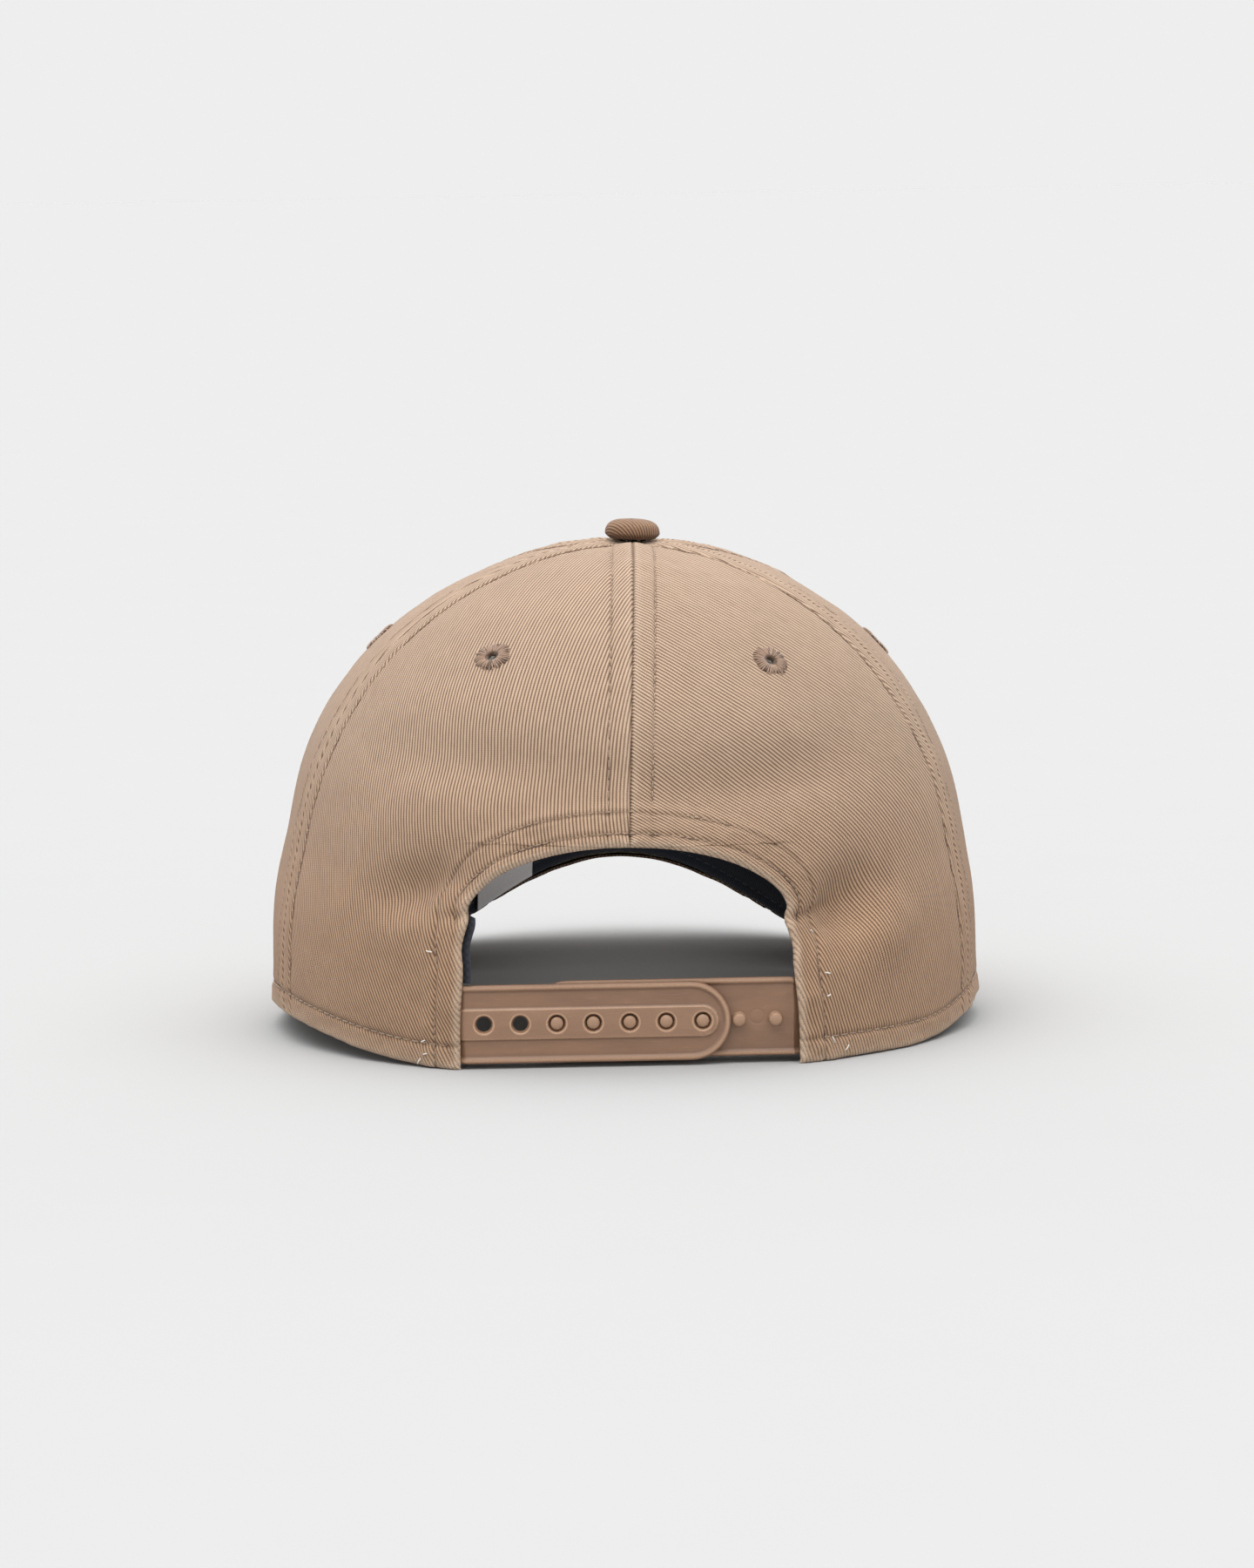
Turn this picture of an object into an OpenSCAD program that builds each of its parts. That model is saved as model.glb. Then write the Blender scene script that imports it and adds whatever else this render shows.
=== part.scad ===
// Six-panel baseball cap with a curved visor and a plastic snap closure, in millimetres.
// +Z is up, the visor points along +Y and the closure faces -Y. The cap stands on Z = 0.
// The origin is on that surface, midway between the back of the crown and the visor's tip.

/* [Crown] */
// Half width of the crown at the hem, over the ears
crown_half_w = 97; // [94:0.5:100]
// From the crown's axis to its back at the hem
crown_back = 99; // [96:0.5:102]
// From the crown's axis to its front at the hem
crown_front = 101; // [98:0.5:104]
// Height of the cloth at the top of the crown
crown_h = 132; // [124:0.5:140]
// Height at which the upright wall starts to lean in
wall_h = 6.7; // [5:0.1:9]
// Rise of the hem over the ears
ear_lift = 7.3; // [5:0.1:9]
// Height of the hem at the middle of the visor seam
visor_lift = 33.5; // [30:0.5:37]
// Thickness of a twill panel with its seam allowance
cloth_t = 1.2; // [1:0.1:1.3]
// Height of the sweatband
band_h = 32; // [28:1:36]

/* [Back opening] */
// Half width of the opening above the closure
opening_half_w = 43.2; // [42.5:0.1:44]
// Height at which the opening's upright sides end
opening_side_h = 38; // [34:0.5:40]
// Height of the opening's arch at its middle
opening_h = 58.5; // [54:0.5:62]
// Width of the binding inside the arch
binding_w = 9; // [6:0.5:11]

/* [Visor] */
// How far the visor reaches in front of the crown
visor_reach = 68; // [62:0.5:74]
// Half width of the bent visor at its widest
visor_half_w = 84; // [82:0.5:86]
// Height of the visor's underside at its tip
visor_tip_h = 27; // [24:0.5:30]
// Thickness of the visor's plastic board
board_t = 1.5; // [1.2:0.1:1.6]

/* [Closure] */
// Width of both plastic straps
strap_w = 20.6; // [19.6:0.1:21]
// Distance from one snap to the next
snap_pitch = 9.5; // [9.3:0.1:9.6]
// Thickness of the strap with holes
hole_strap_t = 1.8; // [1.6:0.1:1.9]
// Thickness of the strap with pegs
peg_strap_t = 1.5; // [1.3:0.1:1.6]
// Radius of a peg
peg_r = 1.7; // [1.6:0.05:1.75]

/* [Button and eyelets] */
// Diameter of the covered button
button_d = 15; // [13:0.5:16]
// Height of the covered button
button_h = 5; // [4:0.5:6]
// Outer diameter of an embroidered eyelet
eyelet_d = 11.5; // [10:0.5:12]
// Diameter of an eyelet's air hole
eyelet_hole_d = 3.2; // [2.5:0.1:4]
// Height of the eyelets' centres
eyelet_h = 104; // [98:1:106]

/* [Hidden] */
$fn = 48;

twill = "#a9876c";
plastic = "#a17b5f";
black = "#1c1f26";
white = "#d8d6d3";
metal = "silver";

// Fullness of the crown's side curve at the back and at the front
back_fullness = 2.6;
front_fullness = 3.3;
// Where the hem starts to rise towards the ears, and where the visor starts, as angles from the back
ear_angle = 26;
visor_angle = 126;
// Half width of the hem's arch over the visor
visor_arch_w = 92.9;

// Seams between the panels, as angles from the back at the hem and at the top
back_seam = [0, 0];
rear_side_seam = [72, 62];
front_side_seam = [122, 120];
front_seam = [180, 180];
seam_gap = 0.06;
back_eyelet = 33;
side_eyelet = 94;
front_eyelet = 150;

// Layers below the outer cloth, from its outer surface inwards
layer_gap = 0.2;
tape_t = 0.55;
buckram_t = 0.85;
core_t = 1.5;
band_t = 1.2;
label_t = 0.5;
under_cloth = cloth_t + layer_gap + 0.05;
under_buckram = under_cloth + buckram_t + layer_gap;
core_depth = 3.45;
band_depth = core_depth + core_t + 0.25;
label_depth = band_depth + band_t + layer_gap;
tape_w = 10;

// Button: a metal shell under drawn cloth, a little above the crown
button_lift = 0.15;
button_side_z = 1.6;
button_cloth_t = 0.5;
shell_t = 0.4;

// How far up the crown's curve the cloth and the tapes end, round the button's fittings
cloth_end = 0.982;
tape_end = 0.92;

// Closure: seven holes and seven pegs, of which five are snapped together
snap_count = 7;
snaps_closed = 5;
wall_y = -crown_back * cos(asin(opening_half_w / crown_half_w));
hole_strap_y = wall_y + 1.6;
peg_strap_y = hole_strap_y + hole_strap_t + 0.5;
strap_z = 1.4;
peg_strap_lift = 0.5;
strap_mid_z = strap_z + strap_w / 2;
hinge_x = opening_half_w - 1.7;
last_hole_x = (snaps_closed - 1) / 2 * snap_pitch;
strap_tip = hinge_x + last_hole_x + 7.3 - strap_w / 2;
bead_w = 1.5;
strip_w = 8;
field_depth = 0.4;
hole_mouth_r = 2.45;
hole_lip_r = 2.0;
hole_lip_t = 0.6;
root_w = 14;
root_gap = 1.3;
peg_root_depth = 3.6;

// Visor covers close over the edge of the board
cover_t = 0.6;
board_up = cover_t + 0.15;
visor_t = board_t + 2 * board_up;
rim_gap = 0.05;
visor_bend_w = visor_half_w + 4;

// The crown's axis lies behind the origin
axis_y = (crown_back * shrink(0, opening_h) - crown_front - visor_reach) / 2;

function mix(a, b, t) = a + (b - a) * t;
function unit(v) = v / norm(v);
function mirrored(seam) = [-seam[0], -seam[1]];
function around(seam) = [360 - seam[0], 360 - seam[1]];

// Fullness of the side curve at an angle from the back, and how far the crown has drawn in
function fullness(phi) = mix(back_fullness, front_fullness, pow(sin(abs(phi) / 2), 6));
function rise(z) = max(0, min(1, (z - wall_h) / (crown_h - wall_h)));
function shrink(phi, z) = sqrt(max(0, 1 - pow(rise(z), fullness(phi))));
function half_length(phi) = cos(phi) > 0 ? crown_back : crown_front;

// Outward normal of the crown's surface
function crown_normal(phi, z) =
    let (s = shrink(phi, z), n = fullness(phi))
    unit([2 * s * sin(phi) / crown_half_w, -2 * s * cos(phi) / half_length(phi),
          n * pow(rise(z), n - 1) / (crown_h - wall_h)]);

// Point at an angle and a height, some depth below the crown's outer surface
function crown_point(phi, z, depth = 0) =
    let (s = shrink(phi, z))
    [crown_half_w * s * sin(phi), -half_length(phi) * s * cos(phi), z] - depth * crown_normal(phi, z);

// Height of the crown's lower edge
function visor_arch(x) = abs(x) < visor_arch_w ? visor_lift * pow(cos(90 * x / visor_arch_w), 2) : 0;
function ear_arch(phi) =
    abs(phi) > ear_angle && abs(phi) < visor_angle
        ? ear_lift * pow(sin(180 * (abs(phi) - ear_angle) / (visor_angle - ear_angle)), 2) : 0;
function hem_z(phi) = ear_arch(phi) + (cos(phi) < 0 ? visor_arch(crown_half_w * sin(phi)) : 0);

// Height and seam angle at a share of the way up the crown's curve
function height_at(phi, share) = mix(hem_z(phi), crown_h, pow(sin(90 * share), 0.8));
function seam_angle(seam, share) = mix(seam[0], seam[1], share * share);

// Moves from the crown's own axis to the frame of the whole cap
module in_frame() {
    translate([0, axis_y, 0])
        children();
}

// Closed solid between two grids of points, the outer one first. Rows run up the part
// and columns run anticlockwise, seen from above.
module shell(outer, inner) {
    rows = len(outer);
    cols = len(outer[0]);
    half = rows * cols;
    function quad(a, b, c, d) = [[a, b, c], [a, c, d]];
    function out(r, c) = r * cols + c;
    function in(r, c) = half + r * cols + c;
    faces = [for (r = [0:rows - 2]) for (c = [0:cols - 2])
        each concat(quad(out(r, c), out(r + 1, c), out(r + 1, c + 1), out(r, c + 1)),
                    quad(in(r, c), in(r, c + 1), in(r + 1, c + 1), in(r + 1, c)))];
    top = rows - 1;
    ends = [for (c = [0:cols - 2])
        each concat(quad(out(0, c), out(0, c + 1), in(0, c + 1), in(0, c)),
                    quad(out(top, c + 1), out(top, c), in(top, c), in(top, c + 1)))];
    last = cols - 1;
    sides = [for (r = [0:rows - 2])
        each concat(quad(out(r + 1, 0), out(r, 0), in(r, 0), in(r + 1, 0)),
                    quad(out(r, last), out(r + 1, last), in(r + 1, last), in(r, last)))];
    polyhedron(concat([for (row = outer) each row], [for (row = inner) each row]),
               concat(faces, ends, sides));
}

// Layer of the crown between two seams, from one share of its curve to another
module crown_layer(seam_a, seam_b, depth, thick, from = 0, to = cloth_end, rows = 14) {
    cols = 12;
    function grid(d) = [for (r = [0:rows])
        let (share = mix(from, to, r / rows))
        let (start = seam_angle(seam_a, share) + seam_gap)
        let (end = seam_angle(seam_b, share) - seam_gap)
        [for (c = [0:cols])
            let (phi = mix(start, end, c / cols))
            crown_point(phi, height_at(phi, share), d)]];
    shell(grid(depth), grid(depth + thick));
}

// Band of the crown between two angles, between two heights above the hem
module crown_band(phi_a, phi_b, depth, thick, low, high, cols, rows = 2) {
    function grid(d) = [for (r = [0:rows])
        [for (c = [0:cols])
            let (phi = mix(phi_a, phi_b, c / cols))
            crown_point(phi, hem_z(phi) + mix(low, high, r / rows), d)]];
    shell(grid(depth), grid(depth + thick));
}

// The back opening's outline, grown by a margin, as a prism through the back of the crown
module opening_prism(grow = 0) {
    steps = 24;
    w = opening_half_w + grow;
    rise = opening_h - opening_side_h + grow;
    arch = [for (i = [0:steps])
        let (turn = 180 * i / steps)
        [w * cos(turn), opening_side_h + rise * sin(turn)]];
    translate([0, -crown_back / 2, 0])
        rotate([90, 0, 0])
            linear_extrude(crown_back)
                polygon(concat(arch, [[-w, -10], [w, -10]]));
}

// Places children on the crown, with +Z along its outward normal
module on_crown(phi, z) {
    n = crown_normal(phi, z);
    translate(crown_point(phi, z))
        rotate([0, acos(n[2]), atan2(n[1], n[0])])
            children();
}

module eyelet_bore(phi) {
    on_crown(phi, eyelet_h)
        translate([0, 0, -6])
            cylinder(d = eyelet_d + 0.2, h = 12);
}

module panel(seam_a, seam_b, eyelet_phi) {
    in_frame()
        difference() {
            crown_layer(seam_a, seam_b, 0, cloth_t);
            eyelet_bore(eyelet_phi);
        }
}

// A back panel has half of the opening cut out of it
module back_panel(seam_a, seam_b, eyelet_phi) {
    in_frame()
        difference() {
            crown_layer(seam_a, seam_b, 0, cloth_t, rows = 16);
            eyelet_bore(eyelet_phi);
            opening_prism();
        }
}

module back_panel_left() {
    color(twill)
        back_panel(mirrored(rear_side_seam), back_seam, -back_eyelet);
}

module back_panel_right() {
    color(twill)
        back_panel(back_seam, rear_side_seam, back_eyelet);
}

module side_panel_left() {
    color(twill)
        panel(mirrored(front_side_seam), mirrored(rear_side_seam), -side_eyelet);
}

module side_panel_right() {
    color(twill)
        panel(rear_side_seam, front_side_seam, side_eyelet);
}

module front_panel_left() {
    color(twill)
        panel(front_seam, around(front_side_seam), -front_eyelet);
}

module front_panel_right() {
    color(twill)
        panel(front_side_seam, front_seam, front_eyelet);
}

// Stiff backing behind a front panel
module buckram(seam_a, seam_b, eyelet_phi) {
    in_frame()
        difference() {
            crown_layer(seam_a, seam_b, under_cloth, buckram_t, 0.03, 0.9);
            eyelet_bore(eyelet_phi);
        }
}

module buckram_left() {
    color(white)
        buckram(front_seam, around(front_side_seam), -front_eyelet);
}

module buckram_right() {
    color(white)
        buckram(front_side_seam, front_seam, front_eyelet);
}

// Tape over the inside of a seam
module seam_tape(seam, depth) {
    rows = 14;
    function half_angle(p) = atan(tape_w / 2 / norm([p[0], p[1]]));
    function grid(d) = [for (r = [0:rows])
        let (share = mix(0.02, tape_end, r / rows))
        let (phi = seam_angle(seam, share), z = height_at(phi, share))
        let (spread = half_angle(crown_point(phi, z, depth)))
        [for (c = [-1:1]) crown_point(phi + c * spread, z, d)]];
    color(black)
        in_frame()
            shell(grid(depth), grid(depth + tape_t));
}

// The back tape runs down to the arch's binding
module seam_tape_back() {
    difference() {
        seam_tape(back_seam, under_cloth);
        in_frame()
            opening_prism(binding_w + 0.3);
    }
}

module seam_tape_back_left() {
    seam_tape(mirrored(rear_side_seam), under_cloth);
}

module seam_tape_back_right() {
    seam_tape(rear_side_seam, under_cloth);
}

module seam_tape_side_left() {
    seam_tape(mirrored(front_side_seam), under_buckram);
}

module seam_tape_side_right() {
    seam_tape(front_side_seam, under_buckram);
}

module seam_tape_front() {
    seam_tape(front_seam, under_buckram);
}

// Binding on the inside of the arch, above the closure straps
module arch_binding() {
    reach = asin((opening_half_w + binding_w + 2) / crown_half_w) + 1;
    color(black)
        in_frame()
            difference() {
                intersection() {
                    crown_band(-reach, reach, under_cloth, buckram_t, 0, opening_h + binding_w + 4, 22, 10);
                    opening_prism(binding_w);
                    translate([-crown_half_w, -crown_back, strap_z + strap_w + 1.5])
                        cube([2 * crown_half_w, crown_back, crown_h]);
                }
                opening_prism(-0.8);
            }
}

// The sweatband runs round the hem from one side of the opening to the other
band_start = asin((opening_half_w + 3) / crown_half_w);

module sweatband() {
    color(black)
        in_frame()
            crown_band(band_start, 360 - band_start, band_depth, band_t, 1, 1 + band_h, 60, 3);
}

// Foam strip between the sweatband and the panels, which stops short of the strap roots
module sweatband_core() {
    start = band_start + 12;
    color("dimgray")
        in_frame()
            crown_band(start, 360 - start, core_depth, core_t, 2, band_h - 2, 54, 3);
}

// Blank woven label sewn to the sweatband, left of the front seam
module blank_label() {
    color(white)
        in_frame()
            crown_band(197, 209, label_depth, label_t, 4, 18, 4);
}

// Ring of embroidery round an air hole, down through the cloth
module eyelet(phi, deepest) {
    outer_r = eyelet_d / 2;
    inner_r = eyelet_hole_d / 2;
    proud = 0.6;
    crest_r = mix(inner_r, outer_r, 0.6);
    color(twill)
        in_frame()
            on_crown(phi, eyelet_h)
                rotate_extrude()
                    polygon([[inner_r, -deepest], [outer_r, -deepest], [outer_r, 0.1],
                             [outer_r - 0.5, proud * 0.8], [crest_r, proud],
                             [inner_r + 0.6, proud * 0.7], [inner_r, 0]]);
}

module eyelet_back_left() {
    eyelet(-back_eyelet, cloth_t + 0.6);
}

module eyelet_back_right() {
    eyelet(back_eyelet, cloth_t + 0.6);
}

module eyelet_side_left() {
    eyelet(-side_eyelet, cloth_t + 0.6);
}

module eyelet_side_right() {
    eyelet(side_eyelet, cloth_t + 0.6);
}

module eyelet_front_left() {
    eyelet(-front_eyelet, under_buckram);
}

module eyelet_front_right() {
    eyelet(front_eyelet, under_buckram);
}

// Half profile of a button dome, from its side to its top
function button_dome(radius, height) = [for (i = [0:10])
    let (turn = 9 * i)
    [radius * pow(cos(turn), 0.6), button_side_z + (height - button_side_z) * sin(turn)]];

function backwards(list) = [for (i = [len(list) - 1:-1:0]) list[i]];

// Cloth drawn over the button's metal shell and tucked in below it
module button_cover() {
    r = button_d / 2;
    t = button_cloth_t;
    color(twill)
        in_frame()
            translate([0, 0, crown_h + button_lift])
                rotate_extrude()
                    polygon(concat([[r - 1.2, 0], [r - 0.3, 0.5]], button_dome(r, button_h),
                                   backwards(button_dome(r - t, button_h - t)),
                                   [[r - t - 0.3, 0.9], [r - 1.2, t]]));
}

module button_shell() {
    r = button_d / 2 - button_cloth_t - 0.15;
    h = button_h - button_cloth_t - 0.15;
    skirt_z = button_side_z - 0.2;
    color(metal)
        in_frame()
            translate([0, 0, crown_h + button_lift])
                rotate_extrude()
                    polygon(concat([[r, skirt_z]], button_dome(r, h),
                                   backwards(button_dome(r - shell_t, h - shell_t)),
                                   [[r - shell_t, skirt_z]]));
}

// Rivet that holds the button, through the meeting point of the panels
stud_r = 1.8;
module button_stud() {
    color(metal)
        in_frame() {
            translate([0, 0, crown_h - 4])
                cylinder(r = stud_r, h = 5.6);
            translate([0, 0, crown_h + 1.5])
                cylinder(r = button_d / 2 - 2.6, h = 0.8);
        }
}

module button_back_plate() {
    color(metal)
        in_frame()
            difference() {
                translate([0, 0, crown_h - 3.4])
                    cylinder(r1 = 8, r2 = 9, h = 1);
                translate([0, 0, crown_h - 5])
                    cylinder(r = stud_r + 0.02, h = 5);
            }
}

// Visor surface: s runs across it from -1 to 1, t from the crown seam (0) to the free edge (1)
function visor_inner(s) =
    let (phi = 180 - s * (180 - visor_angle), p = crown_point(phi, hem_z(phi), -0.4))
    [p[0], p[1], hem_z(phi) - visor_t / 2];
function visor_outer(s) =
    let (turn = 90 * s, start_y = 0.8 - crown_front * cos(visor_angle))
    let (taper = 4.6 * pow(max(0, abs(s) - 0.8) / 0.2, 2))
    let (x = sign(s) * (visor_half_w * pow(abs(sin(turn)), 0.8) - taper))
    [x, mix(start_y, crown_front + visor_reach, pow(cos(turn), 0.8)),
     visor_tip_h * pow(cos(90 * x / visor_bend_w), 2)];
function visor_point(s, t, up) = mix(visor_inner(s), visor_outer(s), t) + [0, 0, up];

// Rows and columns of a cover, with narrow ones at its rim
rim_s = 0.04;
cover_cols = [for (i = [14:-1:-14]) abs(i) == 14 ? i / 14 : i / 13 * (1 - rim_s)];
cover_rows = [0, 0.02, 0.2, 0.4, 0.6, 0.8, 0.97, 1];
function cover_grid(up, rim_up) = [for (t = cover_rows)
    [for (s = cover_cols) visor_point(s, t, abs(s) == 1 || t == 0 || t == 1 ? rim_up : up)]];

module visor_under_cover() {
    color(twill)
        in_frame()
            shell(cover_grid(0, 0), cover_grid(cover_t, visor_t / 2 - rim_gap));
}

module visor_top_cover() {
    color(twill)
        in_frame()
            shell(cover_grid(visor_t - cover_t, visor_t / 2 + rim_gap), cover_grid(visor_t, visor_t));
}

module visor_board() {
    function grid(up) = [for (r = [0:8])
        [for (c = [13:-1:-13]) visor_point(c / 13 * 0.95, mix(0.03, 0.955, r / 8), up)]];
    color("ivory")
        in_frame()
            shell(grid(board_up), grid(board_up + board_t));
}

// Outline of a strap from its root, at x = 0, to a round tip
module strap_outline(width, tip) {
    translate([0, -width / 2])
        square([tip, width]);
    translate([tip, 0])
        circle(d = width);
}

// Stands an outline up with its outer face, towards -Y, at y
module stand_up(y, thick, z) {
    translate([0, y + thick, z])
        rotate([90, 0, 0])
            linear_extrude(thick)
                children();
}

// Strap plate with a rounded root at x = 0
module strap_plate(y, thick, mid_z) {
    stand_up(y, thick, mid_z)
        strap_outline(strap_w, strap_tip);
    translate([0, y + thick / 2, mid_z - strap_w / 2])
        cylinder(d = thick, h = strap_w);
}

// Recess that leaves a bead round the strap's edge
module strap_field(y, mid_z) {
    stand_up(y - 1, 1 + field_depth, mid_z)
        difference() {
            translate([bead_w, 0])
                strap_outline(strap_w - 2 * bead_w, strap_tip - bead_w);
            children();
        }
}

// Outer strap, with a raised strip along its holes
module hole_strap() {
    color(plastic)
        in_frame()
            difference() {
                translate([-hinge_x, 0, 0])
                    strap_plate(hole_strap_y, hole_strap_t, strap_mid_z);
                translate([-hinge_x, 0, 0])
                    strap_field(hole_strap_y, strap_mid_z)
                        strap_outline(strip_w, hinge_x + last_hole_x);
                for (i = [0:snap_count - 1])
                    translate([last_hole_x - i * snap_pitch, hole_strap_y - 1, strap_mid_z])
                        rotate([-90, 0, 0]) {
                            cylinder(r = hole_mouth_r, h = 1 + hole_strap_t - hole_lip_t);
                            cylinder(r = hole_lip_r, h = 3 * hole_strap_t);
                        }
            }
}

// Inner strap, with a row of pegs that point out
module peg_strap() {
    floor_y = peg_strap_y + field_depth + 0.2;
    tip_h = 0.4;
    peg_h = floor_y - hole_strap_y;
    color(plastic)
        in_frame() {
            translate([hinge_x, 0, 0])
                mirror([1, 0, 0])
                    difference() {
                        strap_plate(peg_strap_y, peg_strap_t, strap_mid_z + peg_strap_lift);
                        strap_field(peg_strap_y, strap_mid_z + peg_strap_lift);
                    }
            for (i = [0:snap_count - 1])
                translate([i * snap_pitch - last_hole_x, floor_y, strap_mid_z])
                    rotate([90, 0, 0]) {
                        cylinder(r = peg_r, h = peg_h - tip_h);
                        translate([0, 0, peg_h - tip_h])
                            cylinder(r1 = peg_r, r2 = peg_r - 0.4, h = tip_h);
                    }
        }
}

// Sewn-in end of a strap, which follows the crown's wall: side is 1 on the right, -1 on the left
module strap_root(side, depth, thick, lift) {
    near = asin((opening_half_w + root_gap) / crown_half_w);
    far = near + root_w / crown_half_w * 180 / PI;
    function angle(i) = side > 0 ? mix(near, far, i / 4) : -mix(far, near, i / 4);
    function grid(d) = [for (z = [strap_z, strap_z + strap_w])
        [for (i = [0:4]) crown_point(angle(i), z + lift, d)]];
    color(plastic)
        in_frame()
            shell(grid(depth), grid(depth + thick));
}

module hole_strap_root() {
    strap_root(-1, under_cloth, hole_strap_t, 0);
}

module peg_strap_root() {
    strap_root(1, peg_root_depth, peg_strap_t - 0.1, peg_strap_lift);
}

back_panel_left();
back_panel_right();
side_panel_left();
side_panel_right();
front_panel_left();
front_panel_right();
buckram_left();
buckram_right();
seam_tape_back();
seam_tape_back_left();
seam_tape_back_right();
seam_tape_side_left();
seam_tape_side_right();
seam_tape_front();
arch_binding();
sweatband_core();
sweatband();
blank_label();
eyelet_back_left();
eyelet_back_right();
eyelet_side_left();
eyelet_side_right();
eyelet_front_left();
eyelet_front_right();
button_cover();
button_shell();
button_stud();
button_back_plate();
visor_board();
visor_top_cover();
visor_under_cover();
hole_strap();
hole_strap_root();
peg_strap();
peg_strap_root();
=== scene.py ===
"""Looks of the baseball cap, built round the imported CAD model.

Lengths are in millimetres in the crown's own frame: its axis is X = Y = 0, the cap stands on
Z = 0, the visor points along +Y and the closure faces -Y. `row_frame` turns them into metres
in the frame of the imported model. Angles round the crown are radians from the back, and grow
towards +X. In a grid of points the rows go up and the columns go across.
"""
import itertools
import math
from functools import partialmethod
from math import pi, radians, tau

import bpy
import numpy as np
from mathutils import Matrix, Vector
from mathutils.geometry import delaunay_2d_cdt


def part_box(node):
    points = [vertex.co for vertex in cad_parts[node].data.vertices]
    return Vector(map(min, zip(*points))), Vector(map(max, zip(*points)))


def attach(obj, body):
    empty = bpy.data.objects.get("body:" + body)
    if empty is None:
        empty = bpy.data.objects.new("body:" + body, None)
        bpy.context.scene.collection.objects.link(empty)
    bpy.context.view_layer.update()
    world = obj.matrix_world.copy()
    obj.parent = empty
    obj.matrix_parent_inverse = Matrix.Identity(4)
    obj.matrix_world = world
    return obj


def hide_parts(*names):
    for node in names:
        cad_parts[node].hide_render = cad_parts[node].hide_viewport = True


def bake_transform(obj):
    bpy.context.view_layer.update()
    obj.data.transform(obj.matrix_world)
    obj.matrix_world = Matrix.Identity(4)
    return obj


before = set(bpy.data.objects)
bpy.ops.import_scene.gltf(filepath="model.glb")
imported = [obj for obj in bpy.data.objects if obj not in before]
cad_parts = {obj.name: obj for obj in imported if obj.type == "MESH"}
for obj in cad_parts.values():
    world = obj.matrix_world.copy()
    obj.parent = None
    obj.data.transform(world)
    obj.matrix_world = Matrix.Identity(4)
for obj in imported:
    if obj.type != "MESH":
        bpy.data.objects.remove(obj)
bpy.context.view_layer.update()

MM = 0.001
RNG_SEED = 7


def node_box(node):
    """Lowest and highest corner of a CAD node, in millimetres of the row frame."""
    low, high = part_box(node)
    return np.array(low) / MM, np.array(high) / MM


# ---------------------------------------------------------------- sizes

CROWN_W = 97.0          # half width at the hem
CROWN_BACK = 99.0
CROWN_FRONT = 101.0
CROWN_H = 132.0
WALL_H = 6.7            # height at which the wall starts to lean in
BACK_FULLNESS = 2.6
FRONT_FULLNESS = 3.3
LEAN = 4.3              # how far the soft top leans to one side
LEAN_START = 25
LEAN_SPAN = 110
EAR_LIFT = 7.3          # rise of the hem at the ears
EAR_ANGLE = radians(26)
DROOP = 0.92            # share of that rise lost on the right, where the cloth has dropped
DROOP_ANGLE = radians(50)
DROOP_WIDTH = radians(24)
VISOR_ANGLE = radians(126)
VISOR_LIFT = 33.5
VISOR_ARCH_W = 92.9

OPENING_W = 43.2        # half width of the back opening
OPENING_SIDE_H = 38.0
OPENING_H = 58.5
ARCH_TOP = OPENING_H - OPENING_SIDE_H
FLARE = 1.6             # how much the opening widens towards the hem

SEAMS = {               # angle at the hem and at the top
    "back": (0, 0),
    "rear_side": (radians(72), radians(62)),
    "front_side": (radians(122), radians(120)),
    "front": (pi, pi),
}
SEAM_LINES = [          # seam, side and what the name of a piece on it ends in
    ("back", 1, ""),
    ("rear_side", -1, "_left"),
    ("rear_side", 1, "_right"),
    ("front_side", -1, "_left"),
    ("front_side", 1, "_right"),
    ("front", 1, ""),
]
EYELETS = {"back": radians(33), "side": radians(94), "front": radians(150)}
EYELET_H = 104.0
EYELET_HOLE = 1.9

CLOTH_T = 1.2
FOLD_T = 2.0            # thickness at a folded edge
FOLD_R = 1.4
TWILL_PITCH = 0.93      # from rib to rib
SEAM_ROW = 5.8          # topstitching from its seam
HEM_ROW = 6.2           # hem stitching above the edge
ARCH_ROWS = (3.4, 9.0)  # stitching round the opening, from its edge
ARCH_ROW_DIP = 1.9      # how much closer the outer row runs at the sides
INNER_ROW_END = 37.0    # the inner row stops here, above the straps
CLOTH_END = 0.982       # where the cloth ends under the button, as a share of the crown's curve

AXIS_Y = float(np.mean([corner[1] for corner in node_box("button_stud")]))


def row_frame(points):
    """Points in the crown's frame, in millimetres, as metres in the row frame."""
    return (np.asarray(points, float) + (0, AXIS_Y, 0)) * MM


# ---------------------------------------------------------------- small helpers

def smooth(t):
    """0 below 0, 1 above 1 and an S-curve between."""
    t = np.clip(t, 0, 1)
    return t * t * (3 - 2 * t)


def fade(d, start, width):
    """1 up to a start, then down to 0 over a width."""
    return 1 - smooth((d - start) / width)


def hump(d, width):
    """Bell curve, 1 at d = 0."""
    return np.exp(-(d / width) ** 2)


def rolled(d, radius):
    """How far a round edge has turned in at a distance from its end: 1 there, 0 past the radius."""
    return 1 - np.sqrt(1 - np.clip(1 - d / radius, 0, 1) ** 2)


def stacked(*parts):
    """Points from separate coordinates, stretched to one shape."""
    return np.stack(np.broadcast_arrays(*parts), -1)


def unit(v):
    return v / np.maximum(np.linalg.norm(v, axis=-1, keepdims=True), 1e-9)


def turns(count):
    """Even angles round a ring."""
    return np.linspace(0, tau, count, endpoint=False)


def run_length(path):
    """How far along a path each of its points is."""
    return np.cumsum(np.linalg.norm(np.diff(path, axis=0, prepend=path[:1]), axis=1))


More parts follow.
